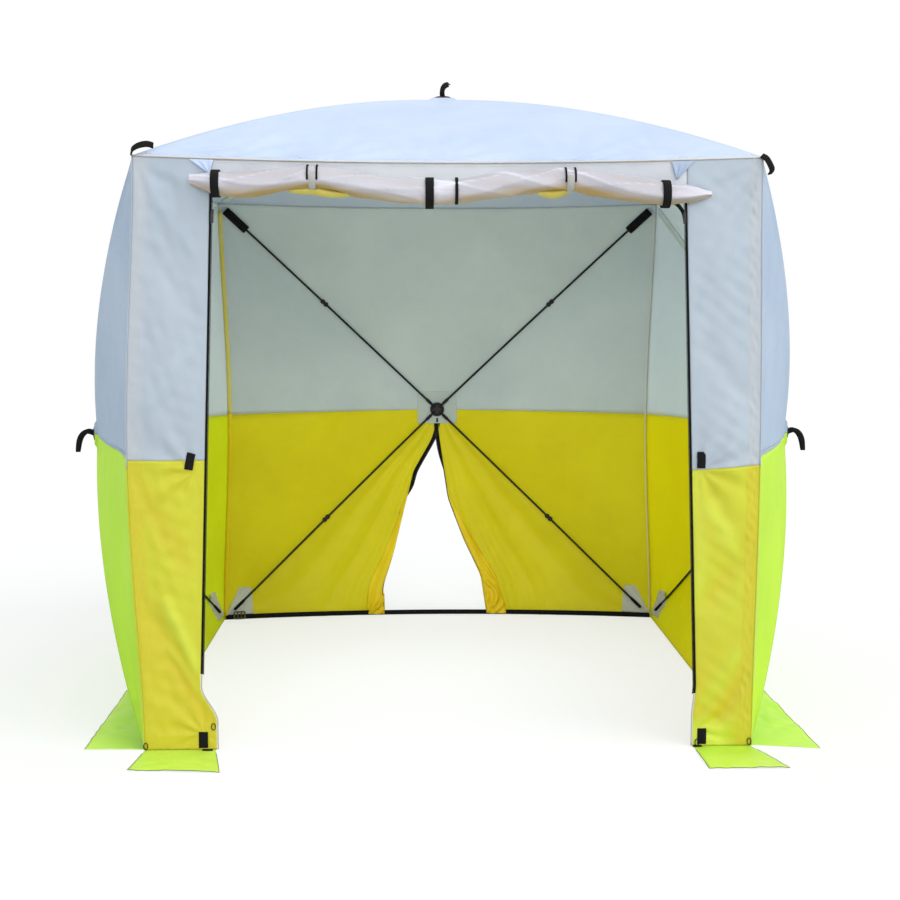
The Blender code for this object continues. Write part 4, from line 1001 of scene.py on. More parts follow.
def roll_at(share):
    """The roll's axis and radius at shares of its length, smoothed along it."""
    fine = np.linspace(0, 1, 801)
    window = np.hanning(33)
    window /= window.sum()
    made = []
    for column in (1, 2):
        line = np.interp(fine, ROLL_SHARES[:, 0], ROLL_SHARES[:, column])
        padded = np.concatenate((np.full(16, line[0]), line, np.full(16, line[-1])))
        made.append(np.interp(share, fine, np.convolve(padded, window, mode="valid")))
    radius = ROLL_RADIUS * made[1]
    x = -ROLL_LEFT + (ROLL_LEFT + ROLL_RIGHT) * share
    back_of_roll = FRONT_PLANE - CLOTH / 2 - ROLL_BEHIND
    return x, back_of_roll - radius, ROLL_AXIS + ROLL_SWAY * made[0], radius


def tie_hold(share):
    """1 where a tie grips the roll, and nothing far from it."""
    grip = np.zeros_like(share)
    for tie in (*STRAPS.values(), *TOGGLES.values()):
        grip = np.maximum(grip, np.exp(-((share - tie) / 0.016) ** 2))
    return grip


def pleat(x):
    """A soft fold: a broad round top with a narrow crease."""
    return 0.55 - np.abs(np.sin(x)) ** 0.55


# %% Rolled door
TURNS, OUTER_TURNS_FROM = 12.0, 10.6
BROAD_PLEAT, CLOSE_PLEAT, FINE_PLEAT, TIE_PUCKER = 0.0100, 0.0060, 0.0016, 0.0022
share = np.linspace(0, 1, 300)
inner = np.linspace(0, OUTER_TURNS_FROM, 150)[:-1]
turns = np.concatenate((inner, np.linspace(OUTER_TURNS_FROM, TURNS, 66)))
x, y, z, radius = (v[:, None] for v in roll_at(share))
angle = turns[None] * 2 * math.pi + 2.2 + 0.35 * np.sin(share[:, None] * 9)
depth = 0.12 + 0.88 * (turns[None] / TURNS)
held = tie_hold(share)[:, None]
free = 1 - 0.9 * held
run = share[:, None] * (ROLL_LEFT + ROLL_RIGHT)
one = pleat(1.5 * angle + 9 * run + 1.8 * np.sin(6 * run + 0.8))
two = pleat(2.5 * angle - 15 * run + 1.2 * np.sin(9 * run))
lumps = BROAD_PLEAT * one * (0.45 + 0.55 * np.sin(angle * 0.5 + 8 * run) ** 2) * free
lumps = lumps + CLOSE_PLEAT * two * (0.3 + 0.7 * np.sin(angle + 12 * run + 1.0) ** 2) * free
lumps = lumps + FINE_PLEAT * ripple(run * 0.6, np.sin(angle) * 0.05, 0.07, 21) * free
lumps = lumps + TIE_PUCKER * np.sin(5 * angle + 30 * run) * held
slack = radius * 1.02 * depth + lumps * depth
slack = np.maximum(slack, 0.002 * depth)
roll = np.broadcast_arrays(x + 0 * angle, y - np.cos(angle) * slack, z + np.sin(angle) * slack)
roll = np.stack(roll, axis=-1)
roll[..., 1] = np.minimum(roll[..., 1], FRONT_PLANE - 0.0022)

# %% [markdown]
# ## The rolled door's tint
# The roll is painted warm and shaded underneath, where the yellow of the tent shines on it, and painted
# nearly white as a highlight on its raised pleats and at its ends. The tint says so point by point, from the
# same angle and pleats as its shape.

# %% Tint and sheet of the roll
LAYER_GIRTH = 0.021
# Painted shade under the roll and in its pleats' creases, and painted highlights on its raised pleats, at its
# ends and in a band near the middle.
below = np.clip((-np.sin(angle) - 0.25) / 0.6, 0, 1)
warm = 0.6 + 0.5 * np.exp(-((run - 0.32) / 0.16) ** 2) + 0.4 * np.exp(-((run - 1.09) / 0.14) ** 2)
bright = np.clip((one - 0.05) / 0.4, 0, 1) + 0.7 * np.clip((two - 0.1) / 0.4, 0, 1)
painted_highlight = np.exp(-(share / 0.05) ** 2) + np.exp(-((share - 0.484) / 0.022) ** 4)
painted_highlight = painted_highlight + np.exp(-((share - 1) / 0.06) ** 2)
tint = below * warm - 0.6 * painted_highlight[:, None] * np.clip(np.sin(angle) + 0.75, 0, 1)
tint = tint + 0.12 * np.clip(-0.25 - one, 0, 0.2) / 0.2 - 0.9 * bright * np.clip(np.sin(angle) + 0.35, 0, 1)
wound = np.cumsum(np.concatenate(([0], np.diff(turns))) * 2 * math.pi * LAYER_GIRTH)
uv = np.stack(np.broadcast_arrays(x, wound[None]), axis=-1)
door = grid_sheet("door_roll_cloth", roll, uv, ("roll",), (0, -1, 0), thickness=0, tint=np.clip(tint, -1, 1))
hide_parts("door_roll")
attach(door, "root")
print("door rolled, wound length", round(float(wound[-1]), 2), "m")

# %% [markdown]
# ## The yellow lower door
# The door's lower half is yellow and wound up inside, but it slips out under the roll beside the two
# toggles. Each showing strip is a short tongue of cloth that sags between its ends.

# %% Yellow edges under the roll
EDGE_DEPTH, EDGE_SAG = 0.036, 0.019
YELLOW_EDGES = {"left": (0.190, 0.306), "right": (0.662, 0.734)}
for side, (low, high) in YELLOW_EDGES.items():
    run = np.linspace(low, high, 40)
    x, y, z, radius = roll_at(run)
    part = np.linspace(0, 1, 9)[:, None]
    sag = np.sin(math.pi * (run - low) / (high - low))[None] * EDGE_SAG
    out = (y + radius * 0.55)[None] - 0.016 * np.sin(math.pi * part) - 0.002 * np.sin(run * 260)[None] * part
    height = (z - radius * 1.02 + 0.012)[None] - part * (sag + 0.010)
    points = np.stack(np.broadcast_arrays(x[None], out, height), axis=-1)
    tongue = grid_sheet(f"door_yellow_edge_{side}", points, points[..., (0, 2)], ("ribbon", "ribbon"),
                        (0, -1, 0))
    float(x[-1] - x[0])
    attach(tongue, "root")
print("yellow edges:", len(YELLOW_EDGES))

# %% [markdown]
# ## Straps and toggles round the roll
# Three black straps and two doubled elastic toggles tie the roll up. A strap is a flat section swept round
# the roll's own outline a millimetre off the cloth, so that it sits tight wherever the roll is lumpy.

# %% Ties
X_AXIS = Vector((1, 0, 0))


def round_roll(share, offset, start=0.0, end=2 * math.pi, steps=40):
    """Points round the roll at one place. Angle 0 is towards the viewer and a quarter turn is the top."""
    x, y, z, radius = (float(v) for v in roll_at(share))
    reach = radius * 1.02 + 0.0012 + offset
    made = []
    for a in np.linspace(start, end, steps, endpoint=end - start < 6.28):
        made.append(Vector((x, min(y - math.cos(a) * reach, FRONT_PLANE - 0.0016), z + math.sin(a) * reach)))
    return made


def tie(name, share, width, offset, node=None):
    """A black strap all the way round the roll."""
    path = round_roll(share, offset)
    bm = strap_parts(bmesh.new(), path, [X_AXIS] * len(path), width, 0.0020, ring=True)
    made = close_mesh(name, bm, "webbing")
    if node:
        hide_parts(node)
    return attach(made, "root")


for side, place in STRAPS.items():
    tie(f"strap_round_roll_{side}", place, 0.024, 0.0032, f"roll_strap_{side}")
tail = smooth_path(((0.640, FRONT_PLANE - 0.030, 1.600), (0.657, FRONT_PLANE - 0.014, 1.592),
                    (0.672, FRONT_PLANE - 0.005, 1.574), (0.679, FRONT_PLANE - 0.003, 1.548)), 5)
made = close_mesh("strap_tail_right", strap_parts(
    bmesh.new(), tail, [Vector((1, 0, 0.55))] * len(tail), 0.011, 0.0020), "webbing")
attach(made, "root")
NARROW_TIE_AT = 0.0195
tie("narrow_tie", (NARROW_TIE_AT + ROLL_LEFT) / (ROLL_LEFT + ROLL_RIGHT), 0.009, 0.0008)
print("straps:", len(STRAPS), "with a narrow tie and a loose tail")

# %% Toggles
ELASTIC_APART, ELASTIC_WIDTH = 0.0135, 0.0055
for side, place in TOGGLES.items():
    bm = bmesh.new()
    for shift in (-ELASTIC_APART, ELASTIC_APART):
        path = [p + X_AXIS * shift for p in round_roll(place, 0.001, -0.3, math.pi * 0.94, 26)]
        strap_parts(bm, path, [X_AXIS] * len(path), ELASTIC_WIDTH, 0.0022)
    made = close_mesh(f"toggle_elastic_{side}", bm, "webbing")
    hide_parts(f"roll_toggle_{side}")
    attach(made, "root")
    path = round_roll(place, 0.0006, -2.2, 0.25, 22)
    bm = strap_parts(bmesh.new(), path, [X_AXIS] * len(path), 0.021, 0.0014)
    made = close_mesh(f"toggle_tape_{side}", bm, "grey_tape")
    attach(made, "root")
print("toggles:", len(TOGGLES))

# %% [markdown]
# ## Zips
# A zip is a woven tape with a row of moulded teeth along its edge. The tape is a sheet in the plane of the
# post. The teeth repeat at an even pitch, so Geometry Nodes put one small tooth at every step of the zip's
# line, turned along it, and the named inputs hold the pitch and the tooth's size.


# %% Geometry Nodes that set one small shape along a line
def along_line(name, line, pitch, size, finish, shape="tooth"):
    """A mesh of small shapes along the edges of a mesh line. size is length, width and height in metres."""
    tree = bpy.data.node_groups.new(name + "_tree", "GeometryNodeTree")
    sockets = {}
    for label, kind, default in (("Geometry", "NodeSocketGeometry", None),
                                 ("Pitch", "NodeSocketFloat", pitch),
                                 ("Size", "NodeSocketVector", size),
                                 ("Finish", "NodeSocketMaterial", None)):
        sockets[label] = tree.interface.new_socket(name=label, in_out="INPUT", socket_type=kind)
        if default is not None:
            sockets[label].default_value = default
    tree.interface.new_socket(name="Geometry", in_out="OUTPUT", socket_type="NodeSocketGeometry")
    start = Wire(tree)
    inputs = {label: start.node("NodeGroupInput", output=label) for label in sockets}
    curve = start.node("GeometryNodeMeshToCurve", {}, {0: inputs["Geometry"]})
    even = start.node("GeometryNodeResampleCurve", {"mode": "LENGTH"},
                      {"Curve": curve, "Length": inputs["Pitch"]})
    points = start.node("GeometryNodeCurveToPoints", {"mode": "EVALUATED"}, {0: even})
    turn = points.also("Rotation")
    if shape == "tooth":
        unit = start.node("GeometryNodeMeshCube", {}, {"Size": (1.0, 1.0, 1.0)})
    else:
        unit = start.node("GeometryNodeMeshCylinder", {"fill_type": "NGON"},
                          {"Vertices": 5, "Radius": 0.5, "Depth": 1.0})
    shaped = start.node("GeometryNodeTransform", {}, {"Geometry": unit, "Scale": inputs["Size"]})
    many = start.node("GeometryNodeInstanceOnPoints", {},
                      {"Points": points, "Instance": shaped, "Rotation": turn})
    real = start.node("GeometryNodeRealizeInstances", {}, {0: many})
    done = start.node("GeometryNodeSetMaterial", {}, {"Geometry": real, "Material": inputs["Finish"]})
    start.node("NodeGroupOutput", {}, {0: done})
    holder = new_object(name + "_line", line)
    modifier = holder.modifiers.new("along", "NODES")
    modifier.node_group = tree
    modifier[sockets["Pitch"].identifier] = pitch
    modifier[sockets["Size"].identifier] = size
    modifier[sockets["Finish"].identifier] = FINISH[finish]
    graph = bpy.context.evaluated_depsgraph_get()
    graph.update()
    mesh = bpy.data.meshes.new_from_object(holder.evaluated_get(graph), preserve_all_data_layers=True,
                                           depsgraph=graph)
    bpy.data.objects.remove(holder)
    mesh.name = name
    mesh.shade_flat()
    return new_object(name, mesh)


def mesh_line(paths):
    """A mesh of edges along each path of points."""
    points, edges = [], []
    for path in paths:
        base = len(points)
        points += [tuple(p) for p in path]
        edges += [(base + i, base + i + 1) for i in range(len(path) - 1)]
    mesh = bpy.data.meshes.new("line")
    mesh.from_pydata(points, edges, [])
    return mesh


# %% Front zips
TAPE, TEETH = 0.0090, 0.0040
TOOTH_PITCH, TOOTH_SIZE = 0.0028, (0.0040, 0.0027, 0.0019)
ZIP_FOOT = {"left": 0.228, "right": 0.160}
for side, sign in (("left", -1), ("right", 1)):
    foot = ZIP_FOOT[side]
    heights = np.concatenate((np.linspace(foot, 0.30, 14), np.linspace(0.32, ZIP_TOP, 30)))
    edge = sign * (HALF - post_edge(heights, side))
    middle = edge - sign * TAPE / 2
    path = [Vector((float(x), FRONT_PLANE + 0.0018, float(h))) for x, h in zip(middle, heights)]
    bm = strap_parts(bmesh.new(), path, [X_AXIS] * len(path), TAPE, 0.0012)
    made = close_mesh(f"zip_tape_{side}", bm, "webbing")
    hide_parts(f"front_zip_{side}")
    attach(made, "root")
    tooth_line = edge - sign * (TAPE + TEETH / 2)
    row = [Vector((float(x), FRONT_PLANE, float(h))) for x, h in zip(tooth_line, heights)]
    teeth = along_line(f"zip_teeth_{side}", mesh_line([row]), TOOTH_PITCH, TOOTH_SIZE, "zip")
    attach(teeth, "root")
    low = np.linspace(0.001, foot - 0.001, 40)
    bare = sign * (HALF - post_edge(low, side)) - sign * 0.0058
    piping = [Vector((float(x), FRONT_PLANE + 0.0006, float(h))) for x, h in zip(bare, low)]
    bm = strap_parts(bmesh.new(), piping, [X_AXIS] * len(piping), 0.0040, 0.0020)
    made = close_mesh(f"zip_piping_{side}", bm, "grey_tape")
    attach(made, "root")
    finish_solid(f"zip_slider_{side}", "slider")
print("front zips run up from", ZIP_FOOT)

# %% [markdown]
# ## The back door's zip
# The back zip is open, so its two tapes follow the leaves' free edges apart. A tape starts flat under the
# hub, turns over a part of the way down, where its leaf is drawn back, and hangs turned below that.

# %% Back door zip
# Where each tape starts to turn and has turned, as shares of the way down, and by how many radians.
ZIP_TURNS = {"left": (0.36, 0.48, 2.75), "right": (0.16, 0.30, 1.45)}
BACK_TAPE, TAPE_OUT, TEETH_OUT = 0.0165, 0.0080, 0.0165
for side, (start, end, most) in ZIP_TURNS.items():
    sign = LEAF_SIGNS[side]
    path, axes, teeth_row = [], [], []
    for share in np.linspace(0.048, 0.998, 70):
        edge = leaf_edge(side, share)
        up = -share * back.half_height + FOOT_LIFT * foot_lift(share)
        height = float(back.cloth_height(np.array(sign * edge), np.array(up))) - DOOR_TURN * share
        fold = min(max((share - start) / (end - start), 0.0), 1.0) * most
        inward = Vector((-sign * math.cos(fold), 0, math.sin(fold)))
        at = Vector((sign * edge, up, height))
        path.append(Vector(back.world(*(at + inward * TAPE_OUT))))
        teeth_row.append(Vector(back.world(*(at + inward * TEETH_OUT))))
        axes.append(Vector(np.array(inward) @ back.axes))
    bm = strap_parts(bmesh.new(), path, axes, BACK_TAPE, 0.0012)
    made = close_mesh(f"back_zip_tape_{side}", bm, "webbing")
    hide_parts("back_zip")
    pop_with(made)
    teeth = along_line(f"back_zip_teeth_{side}", mesh_line([teeth_row]), TOOTH_PITCH, TOOTH_SIZE, "zip")
    pop_with(teeth)
finish_solid("back_zip_slider", "slider")
print("back zip tapes:", len(ZIP_TURNS))

# %% [markdown]
# ## The rods
# Sixteen glass-fibre rods push the four hubs outwards. Each has a moulded collar at its hub end and a ferrule
# about halfway, where its two lengths join. The back wall's upper tips wear black boots, the other upper
# tips and the roof's sit in pale sleeves, and the lower tips have short black caps behind a sewn patch. A
# rod is a round section swept along its bow, and each fitting is a thicker one over a stretch of it.

# %% Round sections
def tube_parts(bm, path, radii, sides=12, flat=None):
    """Adds a closed tube along a path to a bmesh. flat gives each ring's width as a factor."""
    uv_layer = bm.loops.layers.uv.get("cloth") or bm.loops.layers.uv.new("cloth")
    loops, total = [], 0.0
    reference = None
    for i, point in enumerate(path):
        along = (path[min(i + 1, len(path) - 1)] - path[max(i - 1, 0)]).normalized()
        side = reference or along.orthogonal()
        side = (side - along * side.dot(along)).normalized()
        reference = side
        wide = flat[i] if flat else (side, 1.0)
        axis = (wide[0] - along * wide[0].dot(along)).normalized()
        lift = along.cross(axis)
        ring = []
        for k in range(sides):
            a = 2 * math.pi * k / sides
            ring.append(bm.verts.new(point + (axis * math.cos(a) * wide[1] + lift * math.sin(a)) * radii[i]))
        total += (point - path[i - 1]).length if i else 0
        loops.append((ring, total))
    for (one, low), (two, high) in zip(loops, loops[1:]):
        for k in range(sides):
            m = (k + 1) % sides
            face = bm.faces.new((one[k], two[k], two[m], one[m]))
            for loop, uv in zip(face.loops, ((k, low), (k, high), (k + 1, high), (k + 1, low))):
                loop[uv_layer].uv = (uv[0] * 0.003, uv[1])
            face.smooth = True
    bm.faces.new(loops[0][0])
    bm.faces.new(list(reversed(loops[-1][0])))
    return bm


# %% A face's rods and fittings
ROD_RADIUS, FERRULE_SHARE, FERRULE_HALF = 0.0045, 0.562, 0.017
# Radii along each fitting, and how much wider than high the ferrule is along its length.
COLLAR_RADII = (0.0058, 0.0068, 0.0068, 0.0062, 0.0068, 0.0068, 0.0062, 0.0052)
BLADE_RADII = (0.0046, 0.0050, 0.0050, 0.0050, 0.0048)
FERRULE_RADII = (0.0050, 0.0054, 0.0057, 0.0057, 0.0050, 0.0050, 0.0057, 0.0057, 0.0054, 0.0050)
FERRULE_WIDTHS = (1.2, 1.75, 1.75, 1.75, 1.5, 1.5, 1.75, 1.75, 1.75, 1.2)
TIP_CAP_RADII = (0.0052, 0.0058, 0.0062, 0.0062, 0.0062, 0.0062, 0.0062, 0.0062, 0.0062, 0.0050)
# Where a boot or a sleeve starts before the corner, how far it lies under the rod's line, and its thickness.
BOOT, SLEEVE = (0.152, 0.0095, 0.0125), (0.270, 0.0006, 0.0106)


def rod_run(face, x_sign, up_sign, start, end, steps):
    """Points of a rod's centre line between two distances from its hub's axis."""
    across, up = x_sign * face.half_width / face.diagonal, up_sign * face.half_height / face.diagonal
    radii = np.linspace(start, end, steps)
    return [Vector(p) for p in face.world(across * radii, up * radii, face.rod_height(radii))]


def rod_group(face, label, up_signs, nodes):
    """The rods of a face on some of its diagonals, with their fittings and boots."""
    rods, fittings, boots, sleeves = bmesh.new(), bmesh.new(), bmesh.new(), bmesh.new()
    halfway = FERRULE_SHARE * face.tip_radius
    for x_sign, up_sign in ((x, u) for x in (-1, 1) for u in up_signs):
        def run(start, end, steps):
            return rod_run(face, x_sign, up_sign, start, end, steps)
        line = run(0.062, face.tip_radius, 44)
        tube_parts(rods, line, [ROD_RADIUS] * len(line), 10)
        tube_parts(fittings, run(0.0365, 0.066, 8), COLLAR_RADII, 14)
        wide = face.world(*Vector((-up_sign * face.half_height, x_sign * face.half_width, 0)).normalized())
        side_way = Vector(wide) - face.centre
        tube_parts(fittings, run(0.0205, 0.040, 5), BLADE_RADII, 12, flat=[(side_way, 0.98)] * 5)
        ferrule = run(halfway - FERRULE_HALF, halfway + FERRULE_HALF, 10)
        tube_parts(fittings, ferrule, FERRULE_RADII, 16, flat=[(side_way, wider) for wider in FERRULE_WIDTHS])
        if face.name == "roof" or up_sign > 0:
            start, low, thick = BOOT if face.name == "back" else SLEEVE
            radii = np.linspace(face.diagonal - start, face.diagonal - 0.040, 28)
            left = np.clip((face.diagonal - radii) / TIP_SETBACK, 0, 1)
            height = np.where(radii < face.tip_radius, face.rod_height(radii), TIP_HEIGHT * left)
            unit = np.array([x_sign * face.half_width, up_sign * face.half_height]) / face.diagonal
            tip = [Vector(p) for p in face.world(unit[0] * radii, unit[1] * radii, height - low)]
            strap_parts(boots if face.name == "back" else sleeves, tip, [side_way] * len(tip), 0.034, thick)
        else:
            tube_parts(boots, run(face.tip_radius - 0.050, face.tip_radius + 0.004, 10), TIP_CAP_RADII, 12)
    for name, bm, finish, slot in (("frame_rods", rods, "fibreglass", "fibreglass"),
                                   ("rod_fittings", fittings, "plastic", "black_plastic"),
                                   ("rod_boots", boots, "boot", "black_webbing"),
                                   ("rod_sleeves", sleeves, "pale_inside_side", "pale_cloth")):
        if bm.verts:
            made = close_mesh(f"{face.name}_{name}{label}", bm, finish)
            if name == "frame_rods":
                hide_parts(*nodes)
            pop_with(made)


# %% Rods and hubs
for face in FACES.values():
    nodes = [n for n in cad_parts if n.startswith(f"{face.name}_rod_")]
    if face.name == "back":
        low_nodes = [n for n in nodes if "_lower_" in n]
        rod_group(face, "", (1,), [n for n in nodes if n not in low_nodes])
        rod_group(face, "_lower", (-1,), low_nodes)
    else:
        rod_group(face, "", (-1, 1), nodes)
    for name, finish in (("hub", "plastic"), ("hub_cap", "plastic"), ("hub_pin_wire", "steel")):
        finish_solid(f"{face.name}_{name}", finish)
print("rods on", len(FACES), "hubs")

# %% [markdown]
# ## Corner patches
# Each lower tip of a wall's rods sits behind a four-cornered patch that is sewn into the corner of its face.
# The patch lies against the cloth and rises over the rod, so that the rod's end shows as a soft bump.

# %% Corner patches
PATCH_STEPS, PATCH_BUMP, PATCH_DEPTH = 22, 0.0155, 0.0095
PATCH_OUTLINE = np.array(((0.004, 0.004), (0.118, 0.010), (0.104, 0.118), (0.058, 0.122)))
for face in (FACES["left"], FACES["right"], FACES["back"]):
    for x_sign in (-1, 1):
        a, b, c, d = PATCH_OUTLINE
        steps = np.linspace(0, 1, PATCH_STEPS)
        s, t = steps[:, None, None], steps[None, :, None]
        flat = (a * (1 - s) + b * s) * (1 - t) + (d * (1 - s) + c * s) * t
        across = x_sign * (face.half_width - flat[..., 0] - 0.002)
        up = -face.half_height + flat[..., 1] + 0.010
        rod = np.exp(-((flat[..., 0] - flat[..., 1]) / 0.016) ** 2)
        height = face.cloth_height(across, up) + creases(face, across, up)
        height = height - 0.0018 - rod * PATCH_BUMP * np.clip(t[..., 0] * 1.6, 0, 1)
        points = face.world(across, up, height)
        place = "low" if x_sign < 0 else "far"
        made = grid_sheet(f"{face.name}_rod_pocket_{place}", points, flat, ("patch",), -face.normal,
                          thickness=0.0009)
        pop_with(made)
print("corner patches on three walls")

# %% [markdown]
# ## Pull loops
# A loop of webbing threads through each cap, so that a hand can pull the hub out and push it in again. It
# follows the loop of the solid, on a smooth curve, and rides with the hub.

# %% Pulls
PULL_WIDTH, PULL_THICKNESS = 0.0165, 0.0020
PULL_PATH = ((0.0, 0.0), (0.07, 0.0), (0.20, -0.06), (0.40, -0.10), (0.62, -0.02), (0.80, 0.18), (0.92, 0.48))


def pull_loop(face):
    """The loop's points and width axes in the row frame."""
    roof = face.name == "roof"
    out, drop = (0.046, 0.020) if roof else (0.062, 0.066)
    base = CLOTH / 2 + 0.0003 + 0.004
    leg, last = [], len(PULL_PATH) - 1
    for i, (a, b) in enumerate(PULL_PATH):
        gap = 0.008 + 0.007 * math.sin(math.pi * max(i - 1, 0) / last)
        leg.append((gap, -drop * b, base + out * a))
    tip = (0.0, -drop, base + out)
    line = [Vector(p) for p in leg] + [Vector(tip)] + [Vector((-x, y, z)) for x, y, z in reversed(leg)]
    line = smooth_path(line, 5)
    widths = []
    for i in range(len(line)):
        run = line[min(i + 1, len(line) - 1)] - line[max(i - 1, 0)]
        middle = min(i, len(line) - 1 - i)
        ahead = line[min(middle + 3, len(line) - 1)] - line[max(middle - 3, 0)]
        ahead.x = 0.0
        widths.append(X_AXIS.cross(ahead).normalized() if middle > 4 else Vector((0, 1, 0)))
    turned = Matrix.Rotation(math.pi / 2, 3, "Z") if roof else Matrix.Identity(3)

    def place(p):
        p = turned @ p
        return p.x, p.y, p.z

    points = [Vector(face.world(*(np.array(place(p)) + (0, 0, face.reach)))) for p in line]
    axes = [Vector(np.array(place(w)) @ face.axes) for w in widths]
    return points, axes


for face in FACES.values():
    points, axes = pull_loop(face)
    bm = strap_parts(bmesh.new(), points, axes, PULL_WIDTH, PULL_THICKNESS)
    made = close_mesh(f"{face.name}_pull_loop", bm, "webbing")
    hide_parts(f"{face.name}_pull")
    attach(made, f"{face.name}_hub")
print("pull loops:", len(FACES))

# %% [markdown]
# ## Ground flaps
# Four loose flaps lie on the ground, where stones or sand weigh them down. They are flat sheets that ripple
# slightly, with a dark bound edge.

# %% Ground flaps
FLAP_OUTLINES = {
    "left_flap": ((-0.9030, -0.988), (-1.079, -0.985), (-1.088, 0.792), (-0.9030, 0.796)),
    "right_flap": ((0.9030, -0.988), (1.098, -1.030), (1.070, 0.792), (0.9030, 0.796)),
    "front_flap_left": ((-0.898, -0.997), (-0.914, -1.184), (-0.652, -1.209), (-0.691, -0.997)),
    "front_flap_right": ((0.898, -0.997), (0.962, -1.209), (0.732, -1.209), (0.727, -0.997)),
}
FLAP_COLUMNS, FLAP_WAVE, RIM_RADIUS = 22, 0.0050, 0.0008
for name, outline in FLAP_OUTLINES.items():
    a, b, c, d = (np.array(p) for p in outline)
    small = name.startswith("front")
    rows, rise = (30, 0.018) if small else (150, 0.030)
    s, t = np.linspace(0, 1, rows)[:, None, None], np.linspace(0, 1, FLAP_COLUMNS)[None, :, None]
    flat = (a * (1 - t) + b * t) * (1 - s) + (d * (1 - t) + c * t) * s
    free = np.clip(t[..., 0] / 0.25, 0, 1) * np.sin(math.pi * np.clip(s[..., 0], 0.02, 0.98)) ** 0.4
    waves = ripple(flat[..., 0], flat[..., 1], 0.17, 31 + len(name))
    waves = waves + 0.5 * ripple(flat[..., 0], flat[..., 1], 0.07, 37)
    lift = 0.0008 + np.minimum(np.abs(FLAP_WAVE * waves) * free, rise * t[..., 0] * np.linalg.norm(b - a))
    points = np.concatenate((flat, lift[..., None] * np.ones_like(flat[..., :1])), axis=-1)
    # Painted shade: each flap is darker towards the tent, and the left flap most, where it lies in the tent's
    # shade.
    tint = (0.8 if name == "left_flap" else 0.25) * (1 - t[..., 0]) + 0 * s[..., 0]
    made = grid_sheet(f"{name}_cloth", points, flat, ("flap", "flap"), (0, 0, 1), tint=tint)
    wide, tall = np.linalg.norm(b - a), max(np.linalg.norm(d - a), np.linalg.norm(c - b))
    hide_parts(name)
    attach(made, name)
    rim = [points[i, -1] for i in range(rows)]
    if small:
        near_end = [points[0, j] for j in range(4, FLAP_COLUMNS)]
        far_end = [points[-1, j] for j in range(FLAP_COLUMNS - 1, 3, -1)]
        rim = near_end + rim[1:-1] + far_end
    path = [Vector(p) + Vector((0, 0, 0.0004)) for p in rim]
    bm = tube_parts(bmesh.new(), path, [RIM_RADIUS] * len(path), 6)
    made = close_mesh(f"{name}_bound_edge", bm, "zip")
    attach(made, name)
print("ground flaps laid:", len(FLAP_OUTLINES))

# %% [markdown]
# ## Seams, tapes and stitches
# The faces are sewn together with a turned seam that is bound with tape. On the eaves the tape is cream, and
# down each corner it takes the colour of the cloth beside it. Both are thin round sections along the seam.

# %% Eave binding
eave_x = np.linspace(-HALF, HALF, 60)
paths = {
    "front": [Vector((x, FRONT_PLANE - 0.0022, eave_at(x) + 0.0020)) for x in eave_x],
    "back": [Vector((x, BACK_PLANE + 0.0022, eave_at(x) + 0.0020)) for x in eave_x],
    "left": [Vector((-HALF - 0.0018, CENTRE_Y + y, eave_at(y) + 0.0020)) for y in eave_x],
    "right": [Vector((HALF + 0.0018, CENTRE_Y + y, eave_at(y) + 0.0020)) for y in eave_x],
}
bm = bmesh.new()
for path in paths.values():
    tube_parts(bm, path, [0.0021] * len(path), 8)
made = close_mesh("eave_binding", bm, "cream")
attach(made, "root")
print("eave binding round", len(paths), "sides")

# %% Corner bindings
bm_pale, bm_lime = bmesh.new(), bmesh.new()
for x in (-1, 1):
    for y, plane in ((-1, FRONT_PLANE), (1, BACK_PLANE)):
        heights = np.linspace(0.002, EAVE - 0.001, 90)
        out = front_seam(x, heights) if y < 0 else -BACK_SEAM_BOW * seam_shape(2 * heights / EAVE - 1)
        line = [Vector((x * (HALF + 0.0010 + float(o)), plane + y * 0.0010, float(z)))
                for o, z in zip(out, heights)]
        high = [p for p in line if p.z > MID_HEIGHT - 0.03]
        low = [p for p in line if p.z < MID_HEIGHT]
        tube_parts(bm_pale, high, [0.0017] * len(high), 8)
        tube_parts(bm_lime, low, [0.0016] * len(low), 8)
for name, bm, finish, slot in (("corner_binding_pale", bm_pale, "pale", "pale_cloth"),
                               ("corner_binding_lime", bm_lime, "yellow", "hi_vis_cloth")):
    made = close_mesh(name, bm, finish)
    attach(made, "root")
print("corner bindings meet at", MID_HEIGHT, "m")

# %% [markdown]
# ## Ribbons in the back corners
# Inside the two back corners the seam's tape shows as a flat ribbon: yellow and golden on the left, and a
# narrow cream line on the right. Each follows the corner's own bow.

# %% Corner ribbons
RIBBONS = (("left_pale", -1, 0.018, "ribbon", 0.875, EAVE - 0.03),
           ("left_gold", -1, 0.016, "gold_hem", 0.02, 0.874),
           ("right_pale", 1, 0.005, "cream", 0.02, EAVE - 0.03))
for name, x, wide, finish, low, high in RIBBONS:
    heights = np.linspace(low, high, 50)
    drawn = BACK_SEAM_BOW * seam_shape(2 * heights / EAVE - 1)
    path = [Vector((x * (SIDE / 2 - 0.008 - float(d)), BACK_PLANE - 0.008, float(z)))
            for d, z in zip(drawn, heights)]
    turn = [Vector((1.0, 0.25 * x, 0)).normalized()] * len(path)
    made = close_mesh(f"corner_ribbon_{name}", strap_parts(bmesh.new(), path, turn, wide, 0.0012), finish)
    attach(made, "root")
print("ribbons:", len(RIBBONS))

# %% [markdown]
# ## Middle seams and stitches
# Along the middle of each wall a narrow felled seam joins the pale cloth to the yellow. Every seam is held by
# two rows of stitches. Geometry Nodes set one short round stitch at every step of a line, so a row is only
# a line laid on the cloth.

# %% Middle seams and the walls' stitches
STITCH_PITCH, STITCH_SIZE = 0.0070, (0.0009, 0.0009, 0.0046)
SEAM_WIDTH, SEAM_OUT, STITCH_OUT, SEAM_STITCH_OUT = 0.009, 0.0011, 0.0009, 0.0019


